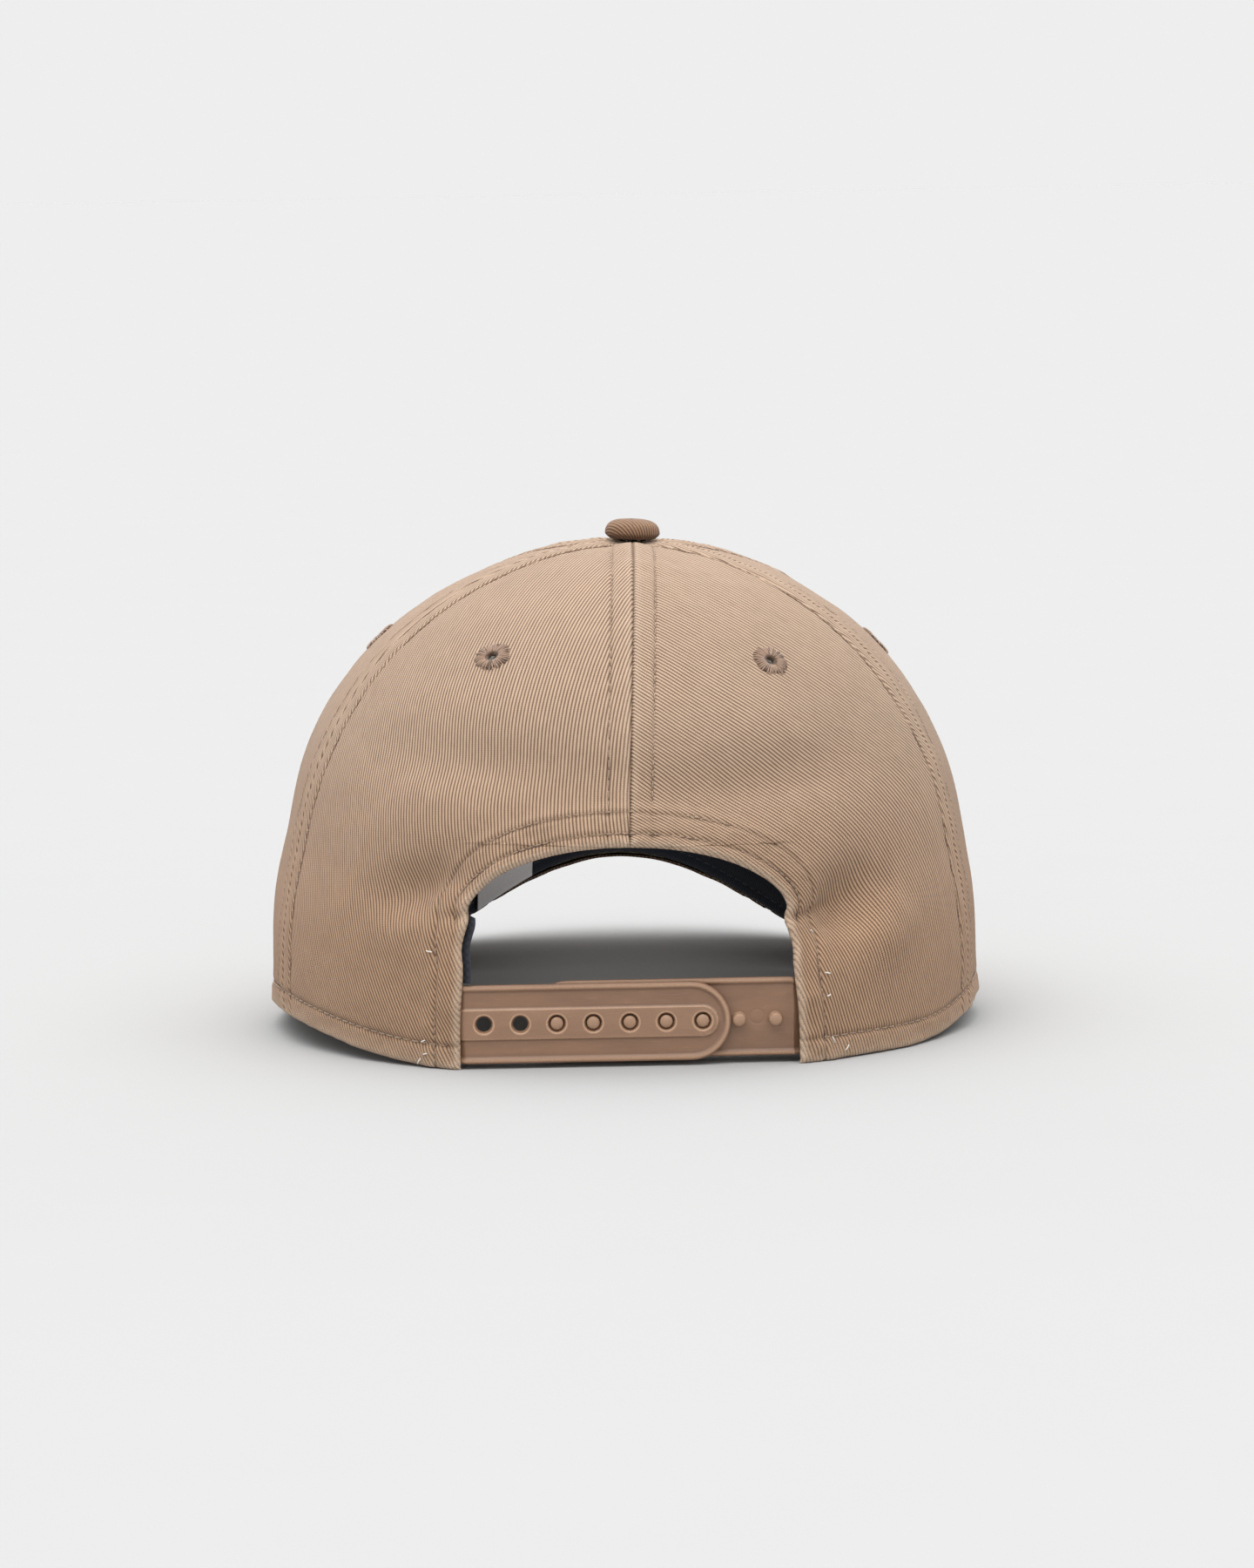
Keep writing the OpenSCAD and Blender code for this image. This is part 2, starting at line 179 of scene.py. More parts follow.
def noise(points, size, seed):
    """Smooth random field from -1 to 1 with lumps about `size` across."""
    lattice = np.random.default_rng(RNG_SEED + seed).uniform(-1, 1, (32, 32, 32))
    q = np.asarray(points, float) / size
    cell = np.floor(q).astype(int)
    f = smooth(q - cell)
    total = 0
    for corner in itertools.product((0, 1), repeat=3):
        weight = np.prod(np.where(corner, f, 1 - f), axis=-1)
        i, j, k = np.moveaxis((cell + corner) % 32, -1, 0)
        total = total + weight * lattice[i, j, k]
    return total


# ---------------------------------------------------------------- the crown's surface

def wrapped(phi):
    """The same angle between half a turn left and half a turn right."""
    return (phi + pi) % tau - pi


def fullness(phi):
    return BACK_FULLNESS + (FRONT_FULLNESS - BACK_FULLNESS) * np.abs(np.sin(phi / 2)) ** 6


def rise(z):
    return np.clip((z - WALL_H) / (CROWN_H - WALL_H), 0, 1)


def shrink(phi, z):
    """How far the crown has drawn in at a height: 1 at the wall, 0 at the top."""
    return np.sqrt(np.maximum(0, 1 - rise(z) ** fullness(phi)))


def angle_of(distance, phi, z):
    """Angle that a distance across the cloth takes up."""
    return distance / (CROWN_W * np.maximum(shrink(phi, z), 0.01))


def hem(phi):
    """Height of the crown's lower edge."""
    phi = wrapped(np.asarray(phi, float))
    ear_lift = (1 - DROOP * hump(phi - DROOP_ANGLE, DROOP_WIDTH)) * EAR_LIFT
    phi = np.abs(phi)
    to_visor = (phi - EAR_ANGLE) / (VISOR_ANGLE - EAR_ANGLE)
    ear = np.where((to_visor > 0) & (to_visor < 1), ear_lift * np.sin(pi * to_visor) ** 2, 0)
    x = CROWN_W * np.sin(phi)
    arch = VISOR_LIFT * np.cos(pi / 2 * x / VISOR_ARCH_W) ** 2
    return ear + np.where((np.cos(phi) < 0) & (x < VISOR_ARCH_W), arch, 0)


def seam_angle(seam, share):
    low, high = SEAMS[seam]
    return low + (high - low) * share * share


def share_of(z):
    """Share of the way up the crown's curve, as the seams' lean uses it."""
    return np.arcsin(np.clip(z / CROWN_H, 0, 1) ** 1.25) / (pi / 2)


def height_of(share):
    return CROWN_H * np.sin(pi / 2 * share) ** 0.8


TOP_Z = height_of(CLOTH_END)


def above_hem(phi, level):
    """Height of a level that follows the hem below and is flat at the top."""
    return hem(phi) + level / TOP_Z * (TOP_Z - hem(phi))


def panel_middle(phi, z):
    """1 midway between two seams and 0 on them."""
    share = share_of(z)
    phi = np.abs(wrapped(phi))
    edges = [seam_angle(seam, share) + 0 * phi for seam in SEAMS]
    middle = np.zeros_like(phi)
    for a, b in zip(edges, edges[1:]):
        t = (phi - a) / (b - a)
        middle = np.where((t >= 0) & (t <= 1), np.sin(pi * t) ** 2, middle)
    return middle


# Dents and soft folds in the cloth, seen from behind: across, up, length, width, turn from
# level in degrees, depth
DENTS = [
    (-60.42, 46, 15, 6.5, 22, 4.4),
    (-69.96, 37, 14, 6, -10, -0.9),
    (-47.7, 39.5, 4.5, 1.7, 8, 1.0),
    (-53, 43.5, 7, 2.4, 15, -0.5),
    (50.88, 39.5, 10, 1.7, 8, 1.5),
    (62.54, 40.5, 14, 8.5, 24, 7.2),
    (78.44, 32, 11, 7, 30, -1.2),
    (61.48, 32, 10, 3, 8, -0.5),
    (-44.52, 78, 34, 7.5, -3, 2.5),
    (36.04, 74, 36, 8.0, 5, 3.0),
    (-65.72, 64, 22, 10, 20, -0.7),
    (42.4, 92, 26, 9, -8, -0.5),
    (-21.2, 96, 24, 8, 5, -0.4),
]


def bare_crown(phi, z):
    """Point of the plain crown and its outward normal."""
    s, n = shrink(phi, z), fullness(phi)
    length = np.where(np.cos(phi) > 0, CROWN_BACK, CROWN_FRONT)
    x, y = s * np.sin(phi), -s * np.cos(phi)
    lean_in = n * np.maximum(rise(z), 1e-9) ** (n - 1) / (CROWN_H - WALL_H)
    normal = stacked(2 * x / CROWN_W, 2 * y / length, lean_in)
    return stacked(CROWN_W * x, length * y, z), unit(normal)


def softness(phi, z, point):
    """How far the cloth has settled inwards from the plain crown."""
    across = CROWN_W * wrapped(phi)
    stiff = smooth((np.abs(across) - 190) / 40)         # the buckram holds the front
    inward = 0.7 * panel_middle(phi, z) * smooth((z - 84) / 40)
    inward = inward + 1.1 * hump(z - 52, 15) * np.sin(phi) ** 2
    lumps = 0.75 * noise(point, 46, 1) + 0.28 * noise(point, 19, 2)
    inward = inward + smooth((z - 4) / 14) * (1 - 0.6 * stiff) * lumps
    for x, h, length, width, turn, depth in DENTS:
        c, s = math.cos(radians(turn)), math.sin(radians(turn))
        along = (across - x) * c + (z - h) * s
        beside = (z - h) * c - (across - x) * s
        inward = inward + depth * hump(along, length) * hump(beside, width)
    return inward


def lean(point):
    """The soft top of the crown leans a little to one side."""
    up = np.clip((point[..., 2] - LEAN_START) / LEAN_SPAN, 0, 1.3)
    shift, slope = LEAN * up ** 1.5, LEAN * 1.5 * up ** 0.5 / LEAN_SPAN
    return point + stacked(shift, 0, -0.5 * slope * point[..., 0])


def crown(phi, z, depth=0.0):
    """Point on the settled crown, some depth below the outer face of the cloth."""
    phi, z, depth = np.broadcast_arrays(*(np.asarray(a, float) for a in (phi, z, depth)))
    point, normal = bare_crown(phi, z)
    return lean(point - (depth + softness(phi, z, point))[..., None] * normal)


def crown_normal(phi, z):
    """Outward normal of the settled crown."""
    across = crown(phi + 0.004, z) - crown(phi - 0.004, z)
    up = crown(phi, z + 0.3) - crown(phi, z - 0.3)
    flat_top = np.linalg.norm(up, axis=-1, keepdims=True) < 1e-6
    return np.where(flat_top, (0, 0, 1), unit(np.cross(across, up)))


def off_eyelet(grid, side, spot, depth, radius):
    """Marks the cells of a grid that are clear of an eyelet's hole."""
    hole = crown(side * EYELETS[spot], EYELET_H, depth)
    return np.linalg.norm((grid[:-1, :-1] + grid[1:, 1:]) / 2 - hole, axis=-1) > radius


def level_for_radius(radius):
    """Height at which the crown is only so wide."""
    z = np.linspace(100, CROWN_H, 4000)
    return float(z[np.argmin(np.abs(CROWN_W * shrink(0, z) - radius))])


def seam_path(seam, side, low, radius, count):
    """Angles and heights up a seam, to where the crown is only so wide."""
    share = np.linspace(0, 1, count)
    z = low + (level_for_radius(radius) - low) * np.sin(pi / 2 * share) ** 0.8
    phi = side * seam_angle(seam, share_of(z))
    return phi, z + hem(phi) * (1 - share)


# ---------------------------------------------------------------- meshes

def new_object(name, points, faces, material, slot, body="crown", stands_for=(), weave=None, values=None):
    """A smooth mesh object from points in the crown's frame. weave and values are per point."""
    mesh = bpy.data.meshes.new(name)
    mesh.from_pydata(row_frame(points).tolist(), [], [list(map(int, face)) for face in faces])
    mesh.polygons.foreach_set("use_smooth", [True] * len(mesh.polygons))
    if weave is not None:
        loops = np.empty(len(mesh.loops), int)
        mesh.loops.foreach_get("vertex_index", loops)
        layer = mesh.uv_layers.new(name="weave")
        layer.data.foreach_set("uv", np.asarray(weave, np.float32)[loops].ravel())
    for key, value in (values or {}).items():
        attribute = mesh.attributes.new(key, "FLOAT", "POINT")
        attribute.data.foreach_set("value", np.asarray(value, np.float32).ravel())
    mesh.materials.append(material)
    mesh.update()
    piece = bpy.data.objects.new(name, mesh)
    bpy.context.scene.collection.objects.link(piece)
    if body:
        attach(piece, body)
    if stands_for:
        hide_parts(*stands_for)
    return piece


def make_piece(name, parts, material, slot, **more):
    """One object from many closed parts, each its points and faces."""
    starts = np.cumsum([0] + [len(points) for points, _ in parts])
    faces = [[i + start for i in face] for (_, part), start in zip(parts, starts) for face in part]
    return new_object(name, np.concatenate([points for points, _ in parts]), faces, material, slot, **more)


def grid_cells(rows, cols):
    """The numbers of the four corners of every cell in a grid of points."""
    index = np.arange(rows * cols).reshape(rows, cols)
    return index[:-1, :-1], index[:-1, 1:], index[1:, 1:], index[1:, :-1]


def shell_faces(rows, cols, keep):
    """Faces of a closed shell between two grids of points, the outer one first."""
    half = rows * cols
    a, b, c, d = grid_cells(rows, cols)
    outer = np.stack([a, b, c, d], -1)[keep]
    faces = [outer, outer[:, ::-1] + half]
    around = np.pad(keep, 1)
    for p, q, down, right in ((a, b, -1, 0), (b, c, 0, 1), (c, d, 1, 0), (d, a, 0, -1)):
        rim = keep & ~around[1 + down:rows + down, 1 + right:cols + right]
        faces.append(np.stack([q[rim], p[rim], p[rim] + half, q[rim] + half], -1))
    return np.concatenate(faces)


def make_shell(name, outer, inner, material, slot, weave, wear_and_highlight=0, painted_shade=0, keep=None):
    """A sheet with thickness between two grids of points, which stands for the node of its name.
    keep marks the cells that stay."""
    rows, cols = outer.shape[:2]
    keep = np.ones((rows - 1, cols - 1), bool) if keep is None else keep
    used, faces = np.unique(shell_faces(rows, cols, keep), return_inverse=True)

    def both(first, second):
        return np.concatenate([grid.reshape(rows * cols, -1) for grid in (first, second)])[used]

    values = {"wear_and_highlight": wear_and_highlight, "painted_shade": painted_shade}
    values = {key: both(*[np.broadcast_to(value, (rows, cols))] * 2) for key, value in values.items()}
    return new_object(name, both(outer, inner), faces.reshape(-1, 4), material, slot,
                      stands_for=[name], weave=both(weave, weave), values=values)


def wall_faces(index):
    """Faces between neighbouring rings. index numbers the points by tube, ring and place round it."""
    after = np.roll(index, -1, 2)
    return np.stack([index[:, :-1], after[:, :-1], after[:, 1:], index[:, 1:]], -1).reshape(-1, 4).tolist()


def tube_faces(tubes, rings, sides):
    """Faces of tubes that are closed at both ends."""
    index = np.arange(tubes * rings * sides).reshape(tubes, rings, sides)
    return wall_faces(index) + index[:, 0, ::-1].tolist() + index[:, -1].tolist()


def tube_parts(path, radius, sides, normal):
    """Points and faces of a closed tube along a path. radius may vary along it."""
    tangent = unit(np.gradient(path, axis=0))
    side = unit(np.cross(tangent, normal))
    up = np.cross(side, tangent)
    turn = turns(sides)[:, None]
    ring = np.cos(turn) * side[:, None] + np.sin(turn) * up[:, None]
    points = path[:, None] + np.broadcast_to(radius, len(path))[:, None, None] * ring
    return points.reshape(-1, 3), tube_faces(1, len(path), sides)


# ---------------------------------------------------------------- stitches

# One stitch: place along it, height in threads, share of the lift, and width in threads
STITCH_SHAPE = [(0.04, -0.5, -1, 0.55), (0.14, 0, 0, 0.85), (0.32, 0.25, 1, 1),
                (0.68, 0.25, 1, 1), (0.86, 0, 0, 0.85), (0.96, -0.5, -1, 0.55)]
STITCH_SIDES = 5
THREAD_W = 0.4
THREAD_LIFT = 0.12      # how far a stitch arches up
SEAM_PITCH, HEM_PITCH, ARCH_PITCH = 2.75, 2.9, 2.1      # length of one stitch with its gap
SEAM_SINK, HEM_SINK, ARCH_SINK = 0.26, 0.38, 0.2        # depth of a row below the plain cloth
LINING_PITCH = 2.6
QUILT_PITCH = 2.7
SEAM_ROW_END_R = 10.5   # the rows beside a seam stop where the crown has this radius
PICK_END_R = 8
TAPE_END_R = 15


def resample(path, step, *fields):
    """Points at even steps along a path, and the values of its fields there."""
    length = run_length(path)
    at = np.linspace(0, length[-1], max(2, int(round(length[-1] / step)) + 1))
    return [stacked(*(np.interp(at, length, column) for column in values.T)) for values in (path, *fields)]


def stitch_parts(path, normals, pitch, thread, lift):
    """Sunken stitches along a path of surface points, each a short thread with its ends in the cloth."""
    ends, up = resample(path, pitch, normals)
    up = unit(up)
    up = unit(up[:-1] + up[1:])[:, None]
    along = np.diff(ends, axis=0)[:, None]
    across = unit(np.cross(along, up))
    station, height, raised, width = np.array(STITCH_SHAPE).T[..., None]
    centre = ends[:-1, None] + station * along + (height * thread + raised * lift) * up
    turn = turns(STITCH_SIDES)[:, None]
    ring = np.cos(turn) * across + np.sin(turn) * up
    points = centre[:, :, None] + (width * thread / 2)[:, None] * ring[:, None]
    return points.reshape(-1, 3), tube_faces(len(centre), len(STITCH_SHAPE), STITCH_SIDES)


def hole_shade_parts(path, normals, pitch):
    """Dark capsules at the needle holes between the stitches of a row: the holes, with painted shade round
    them.
    """
    spots, up = resample(path, pitch, normals)
    length, radius = (-0.42, -0.3, 0.3, 0.42), (0.08, 0.18, 0.18, 0.08)
    return [tube_parts(p + np.outer(length, a) + 0.02 * n, radius, 5, n)
            for p, a, n in zip(spots, unit(np.gradient(spots, axis=0)), unit(up))]


def crown_row(phi, z, depth):
    """Path and normals of a row of stitches on the crown."""
    return crown(phi, z, depth), crown_normal(phi, z)


# ---------------------------------------------------------------- materials

WHITE = (1.0, 1.0, 1.0, 1.0)


class Value:
    """A node's output, which takes + - * ** and abs() with numbers and other outputs."""

    def __init__(self, nodes, socket):
        self.nodes, self.socket = nodes, socket

    def math(self, operation, other=0.0):
        return self.nodes.node("Math", {0: self, 1: other}, operation=operation)

    __add__ = partialmethod(math, "ADD")
    __sub__ = partialmethod(math, "SUBTRACT")
    __mul__ = partialmethod(math, "MULTIPLY")
    __pow__ = partialmethod(math, "POWER")
    __abs__ = partialmethod(math, "ABSOLUTE")

    def spread(self, low, high):
        """Stretches low..high to 0..1."""
        return self.nodes.node("MapRange", {0: self, 1: low, 2: high})

    def scaled(self, by):
        return self.nodes.node("VectorMath", {0: self, 1: by}, operation="MULTIPLY")

    def part(self, axis):
        return self.nodes.node("SeparateXYZ", {0: self}, axis)


class Nodes:
    """Builds one node tree."""

    def __init__(self, tree):
        self.tree = tree

    def node(self, kind, inputs=(), out=0, **settings):
        made = self.tree.nodes.new("ShaderNode" + kind)
        for key, value in settings.items():
            setattr(made, key, value)
        for socket, value in dict(inputs).items():
            self.feed(made.inputs[socket], value)
        return Value(self, made.outputs[out])

    def feed(self, socket, value):
        if isinstance(value, Value):
            self.tree.links.new(value.socket, socket)
        else:
            socket.default_value = value

    def curve(self, value, points):
        """A straight-sided curve through the points, which may rise above 1."""
        top = max(height for _, height in points)
        made = self.node("FloatCurve", {"Value": value})
        mapping = made.socket.node.mapping
        handles = mapping.curves[0].points
        while len(handles) < len(points):
            handles.new(0.5, 0.5)
        for handle, (at, height) in zip(handles, points):
            handle.location = (at, height / top)
            handle.handle_type = "VECTOR"
        mapping.update()
        return made * top


class Shader(Nodes):
    """Builds one node material. Values that are the same all over sit on the shader's sockets."""

    def __init__(self, name, **constants):
        self.material = bpy.data.materials.new(name)
        self.material.use_nodes = True
        super().__init__(self.material.node_tree)
        self.bsdf = self.tree.nodes["Principled BSDF"]
        for key, value in constants.items():
            self.bsdf.inputs[key.replace("_", " ")].default_value = value
        self.place = self.node("TexCoord", out="Object").scaled((1000, 1000, 1000))     # in millimetres

    def noise(self, vector, scale, detail=2.0, rough=0.55):
        return self.node("TexNoise", {"Vector": vector, "Scale": scale, "Detail": detail,
                                      "Roughness": rough})

    def weave(self):
        """The two running numbers of a weave: across its ribs and along them."""
        uv = self.node("UVMap", uv_map="weave")
        return uv.part(0), uv.part(1)

    def pair(self, a, b):
        return self.node("CombineXYZ", {0: a, 1: b})

    def attribute(self, name):
        return self.node("Attribute", attribute_name=name, out="Fac")

    def mix(self, amount, a, b, blend="MIX"):
        """Mixes two colours, which are inputs 6 and 7 of the node; the mixed colour is output 2."""
        return self.node("Mix", {0: amount, 6: a, 7: b}, 2, data_type="RGBA", blend_type=blend)

    def finish(self, color, roughness=None, height=None, depth=0.0):
        """Joins up the shader. height is a relief that is `depth` millimetres deep."""
        self.feed(self.bsdf.inputs["Base Color"], color)
        if roughness is not None:
            self.feed(self.bsdf.inputs["Roughness"], roughness)
        if height is not None:
            bump = self.node("Bump", {"Height": height, "Distance": depth * MM, "Strength": 1.0})
            self.feed(self.bsdf.inputs["Normal"], bump)
        return self.material


def srgb(*colors):
    """Shader colours from 0-255 screen values."""
    return [tuple(c / 255 / 12.92 if c < 10.3 else ((c / 255 + 0.055) / 1.055) ** 2.4 for c in color) + (1,)
            for color in colors]


def darker(color, share):
    return tuple(c * share for c in color[:3]) + (1,)


def twill_material(name, light, dark, worn, rib_depth=0.19, sheen=0.08, wash=0.06, hem_shade_tint=WHITE):
    """Cotton twill: round ribs with grooves painted dark as shade, slubs, a washed-out tone, worn edges
    and painted shade in its hollows. hem_shade_tint paints shade on it towards the hem."""
    light, dark, worn = srgb(light, dark, worn)
    m = Shader(name, Roughness=0.92, Sheen_Weight=sheen, Sheen_Roughness=0.5, Specular_IOR_Level=0.1)
    across, along = m.weave()
    rib_at = across + (m.noise(m.pair(across, along * 0.3), 0.3, 3) - 0.5) * 0.3
    rib = (rib_at * tau).math("COSINE") * -0.5 + 0.5
    rib_number = rib_at.math("FLOOR")
    slub = m.noise(m.pair(rib_number, along * 0.16), 1.0, 2)
    yarn = abs(((along * 1.9 + rib_number * 0.37) * pi).math("SINE"))
    fuzz = m.noise(m.place, 2.6, 4, 0.7)
    cloud = m.noise(m.place, 0.035, 3, 0.6)
    height = rib ** 0.65 * (slub * 0.3 + 0.85) + (yarn * 0.28 + fuzz * 0.2)
    # The ribs' crests take the light colour and their grooves the dark one: painted shade between the ribs,
    # on top of the yarn's slubs, breaks and fuzz.
    tone = rib ** 0.55 * 0.8 + (slub * 0.3 + (fuzz * 0.24 + yarn * 0.12))
    color = m.mix(tone.spread(0.38, 1.13), dark, light)
    tint = m.mix(cloud.spread(0.34, 0.68), (1 - wash, 1 - wash, 1 - 0.9 * wash, 1), WHITE)
    color = m.mix(1.0, color, tint, "MULTIPLY")
    # Painted shade: from 85 mm down to 30 mm above the floor the cloth is darkened and warmed by
    # hem_shade_tint, as the lower wall is shaded.
    low = m.place.part(2).spread(85.0, 30.0)
    color = m.mix(1.0, color, m.mix(low, WHITE, hem_shade_tint), "MULTIPLY")
    color = m.mix(m.attribute("wear_and_highlight") * fuzz.spread(0.25, 0.7), color, worn)
    # Painted shade: darker cloth in seam ditches, stitch grooves and other hollows, from the painted_shade
    # attribute.
    color = m.mix(m.attribute("painted_shade") * 0.75, color, darker(dark, 0.45))
    return m.finish(color, fuzz.spread(-2.0, 1.1), height, rib_depth)


def thread_material(name, color, shade, gloss=0.62):
    """Spun thread: fine plies wound round it, with a few paler and darker stretches."""
    color, shade = srgb(color, shade)
    m = Shader(name, Roughness=gloss, Sheen_Weight=0.2, Specular_IOR_Level=0.3)
    plies = m.node("TexWave", {"Vector": m.place, "Scale": 1.6, "Distortion": 3.0, "Detail": 1.0}, "Fac")
    tone = plies * 0.5 + m.noise(m.place, 0.9, 3) * 0.6
    return m.finish(m.mix(tone.spread(0.25, 0.85), shade, color), tone.spread(-1.6, 1.5), plies, 0.05)


def woven_material(name, light, dark, grid, depth=0.12, roughness=0.9, sheen=0.15, holes=0.0):
    """Plain weave over and under, from fine tape to the open cloth of a stiffener."""
    light, dark = srgb(light, dark)
    m = Shader(name, Roughness=roughness, Sheen_Weight=sheen, Specular_IOR_Level=0.2)
    warp, weft = ((thread * (tau * grid)).math("SINE") for thread in m.weave())
    fuzz = m.noise(m.place, 2.2, 3, 0.6)
    tone = (warp * weft * 0.5 + 0.5) * 0.6 + fuzz * 0.6
    color = m.mix(tone.spread(0.2, 1.0), dark, light)
    color = m.mix(m.noise(m.place, 0.06, 2).spread(0.35, 0.7) * 0.25, color, dark)
    rubbed = tuple(min(1, c * 1.8 + 0.01) for c in light[:3]) + (1,)
    color = m.mix(m.attribute("wear_and_highlight") * 0.6, color, rubbed)
    # The open weave's gaps are not cut: they are painted dark, as shade seen through them.
    if holes:
        gap = (abs(warp) * abs(weft)).spread(1 - holes, 1 - holes + 0.15)
        color = m.mix(gap, color, darker(dark, 0.25))
    return m.finish(color, None, tone, depth)


def plastic_material(name, color, dark, light):
    """Moulded plastic with satin grain, flow marks, scuffs, rubbed edges with painted highlights, and
    painted shade.
    """
    color, dark, light = srgb(color, dark, light)
    m = Shader(name, Roughness=0.42, Specular_IOR_Level=0.42, Coat_Weight=0.12, Coat_Roughness=0.35,
               Subsurface_Weight=0.12, Subsurface_Scale=0.002, Subsurface_Radius=(1.0, 0.6, 0.4))
    flow = m.noise(m.place.scaled((0.25, 1, 1)), 0.16, 3)
    grain = m.noise(m.place, 3.2, 4, 0.7)
    scuff = m.noise(m.place.scaled((0.12, 1, 1.6)), 1.5, 5, 0.72)
    base = m.mix(flow.spread(0.3, 0.7), dark, color)
    base = m.mix(scuff.spread(0.56, 0.78) * 0.22, base, light)
    # Rubbed edges that also carry painted highlights.
    base = m.mix(m.attribute("wear_and_highlight") * grain.spread(0.0, 0.7), base, light)
    # Painted shade in the strap's hollows.
    base = m.mix(m.attribute("painted_shade") * 0.6, base, darker(dark, 0.35))
    return m.finish(base, scuff.spread(0.4, 0.75) * 0.22 + 0.36, grain * 0.5 + scuff, 0.035)


def metal_material(name, color, dark):
    """Turned metal with fine rings of tool marks and tarnish."""
    color, dark = srgb(color, dark)
    m = Shader(name, Metallic=0.95, Roughness=0.35)
    rings = m.node("TexWave", {"Vector": m.place, "Scale": 18.0, "Distortion": 0.6, "Detail": 2.0}, "Fac",
                   wave_type="RINGS", rings_direction="Z")
    stain = m.noise(m.place, 0.5, 4, 0.65)
    return m.finish(m.mix(stain.spread(0.42, 0.72), color, dark), stain.spread(-0.3, 1.6), rings, 0.01)


def foam_material(name, color, dark):
    """Open-cell foam."""
    color, dark = srgb(color, dark)
    m = Shader(name, Roughness=0.95, Specular_IOR_Level=0.1)
    cells = m.node("TexVoronoi", {"Vector": m.place, "Scale": 1.5}, "Distance")
    tone = cells + m.noise(m.place, 0.4, 3) * 0.4
    return m.finish(m.mix(tone.spread(0.2, 1.0), dark, color), None, cells, 0.3)


def floor_material():
    """Pale studio paper, nearly even, with the faintest grain."""
    m = Shader("studio_floor", Roughness=0.95, Specular_IOR_Level=0.0)
    return m.finish(m.mix(m.noise(m.place, 0.02, 3), (0.378, 0.378, 0.378, 1), (0.384, 0.384, 0.384, 1)))


# TWILL's hem_shade_tint is painted shade on the lower wall.
TWILL = twill_material("washed_twill", (180, 155, 133), (94, 73, 57), (194, 174, 154),
                       hem_shade_tint=(0.945, 0.845, 0.75, 1))
LINING = twill_material("visor_lining_twill", (160, 132, 111), (92, 70, 56), (188, 164, 143))
BUTTON_CLOTH = twill_material("button_twill", (140, 109, 86), (66, 48, 35), (162, 134, 110), 0.16)
BAND_CLOTH = twill_material("dark_band_twill", (42, 46, 56), (13, 15, 21), (82, 85, 92), 0.12, 0.3, 0.3)
TAPE_CLOTH = woven_material("black_tape_weave", (46, 48, 54), (14, 15, 19), 0.5)
BUCKRAM = woven_material("open_buckram_weave", (226, 222, 212), (150, 146, 136), 0.33, 0.3, 0.8, 0.0, 0.35)
LABEL_CLOTH = woven_material("satin_label_weave", (236, 233, 231), (204, 199, 198), 0.9, 0.05, 0.6)
THREAD = thread_material("beige_thread", (178, 153, 130), (116, 93, 76))
# Dark thread colour for the needle holes and the painted shade round them.
NEEDLE_HOLE_SHADE = thread_material("needle_hole_shadow", (118, 92, 73), (84, 64, 50), 0.9)
SEAM_THREAD = thread_material("seam_thread", (120, 94, 74), (70, 53, 41))
DARK_THREAD = thread_material("black_thread", (60, 62, 68), (22, 23, 27))
EYELET_THREAD = thread_material("eyelet_thread", (178, 149, 127), (128, 102, 84), 0.5)
# Dark thread for painted shade under the eyelets' strands and round their holes.
EYELET_SHADE = thread_material("eyelet_underlay", (110, 85, 67), (72, 54, 42), 0.8)
LOOSE_THREAD = thread_material("loose_white_thread", (236, 232, 226), (200, 192, 182))
PLASTIC = plastic_material("tan_strap_plastic", (134, 102, 79), (119, 89, 69), (190, 155, 126))
BOARD = plastic_material("visor_board_plastic", (226, 220, 202), (198, 190, 170), (238, 234, 222))
FOAM = foam_material("grey_foam", (122, 122, 124), (66, 66, 68))
METAL = metal_material("button_steel", (190, 188, 184), (120, 112, 104))


# ---------------------------------------------------------------- cloth panels

def flare(z):
    """The opening widens a little towards the hem, and is pinched at its corners."""
    return FLARE * smooth((31 - z) / 26) - 0.9 * hump(z - 38, 3.0) + 0.5 * hump(z - 31, 3.0)


def opening_to_angle(x, z):
    return np.arcsin(np.clip(x / (CROWN_W * shrink(0.4, z)), -1, 1))


def opening_angle(z):
    """Angle of the opening's edge at a height."""
    up = np.clip((z - OPENING_SIDE_H) / ARCH_TOP, 0, 1)
    return opening_to_angle(OPENING_W * np.sqrt(1 - up * up) + flare(z), z)


def opening_curve(low, offset, steps):
    """Angles and heights along the opening's edge from its lower left corner to its lower right
    one, moved out by an offset, which may be a function of the turn round the arch."""
    side = OPENING_SIDE_H - low
    arc = pi / 2 * (OPENING_W + ARCH_TOP) * 1.03
    at = np.linspace(-side, arc + side, steps)
    turn = pi * (1 - np.clip(at / arc, 0, 1))
    below = np.minimum(0, np.minimum(at, arc - at))
    x, z = OPENING_W * np.cos(turn), OPENING_SIDE_H + ARCH_TOP * np.sin(turn) + below
    out = unit(stacked(np.cos(turn) / OPENING_W, np.sin(turn) / ARCH_TOP))
    grow = offset(turn) if callable(offset) else offset
    phi = opening_to_angle(x + np.sign(x) * flare(z), z)
    z = z + grow * out[:, 1]
    return phi + angle_of(grow * out[:, 0], phi, z), z


def gap_to(points, curve):
    """Shortest distance from each point of a grid to a curve."""
    flat = points.reshape(-1, 3)
    best = np.full(len(flat), 1e9)
    for start in range(0, len(curve), 60):
        part = curve[start:start + 60]
        best = np.minimum(best, np.sqrt(((flat[:, None] - part[None]) ** 2).sum(-1)).min(1))
    return best.reshape(points.shape[:-1])


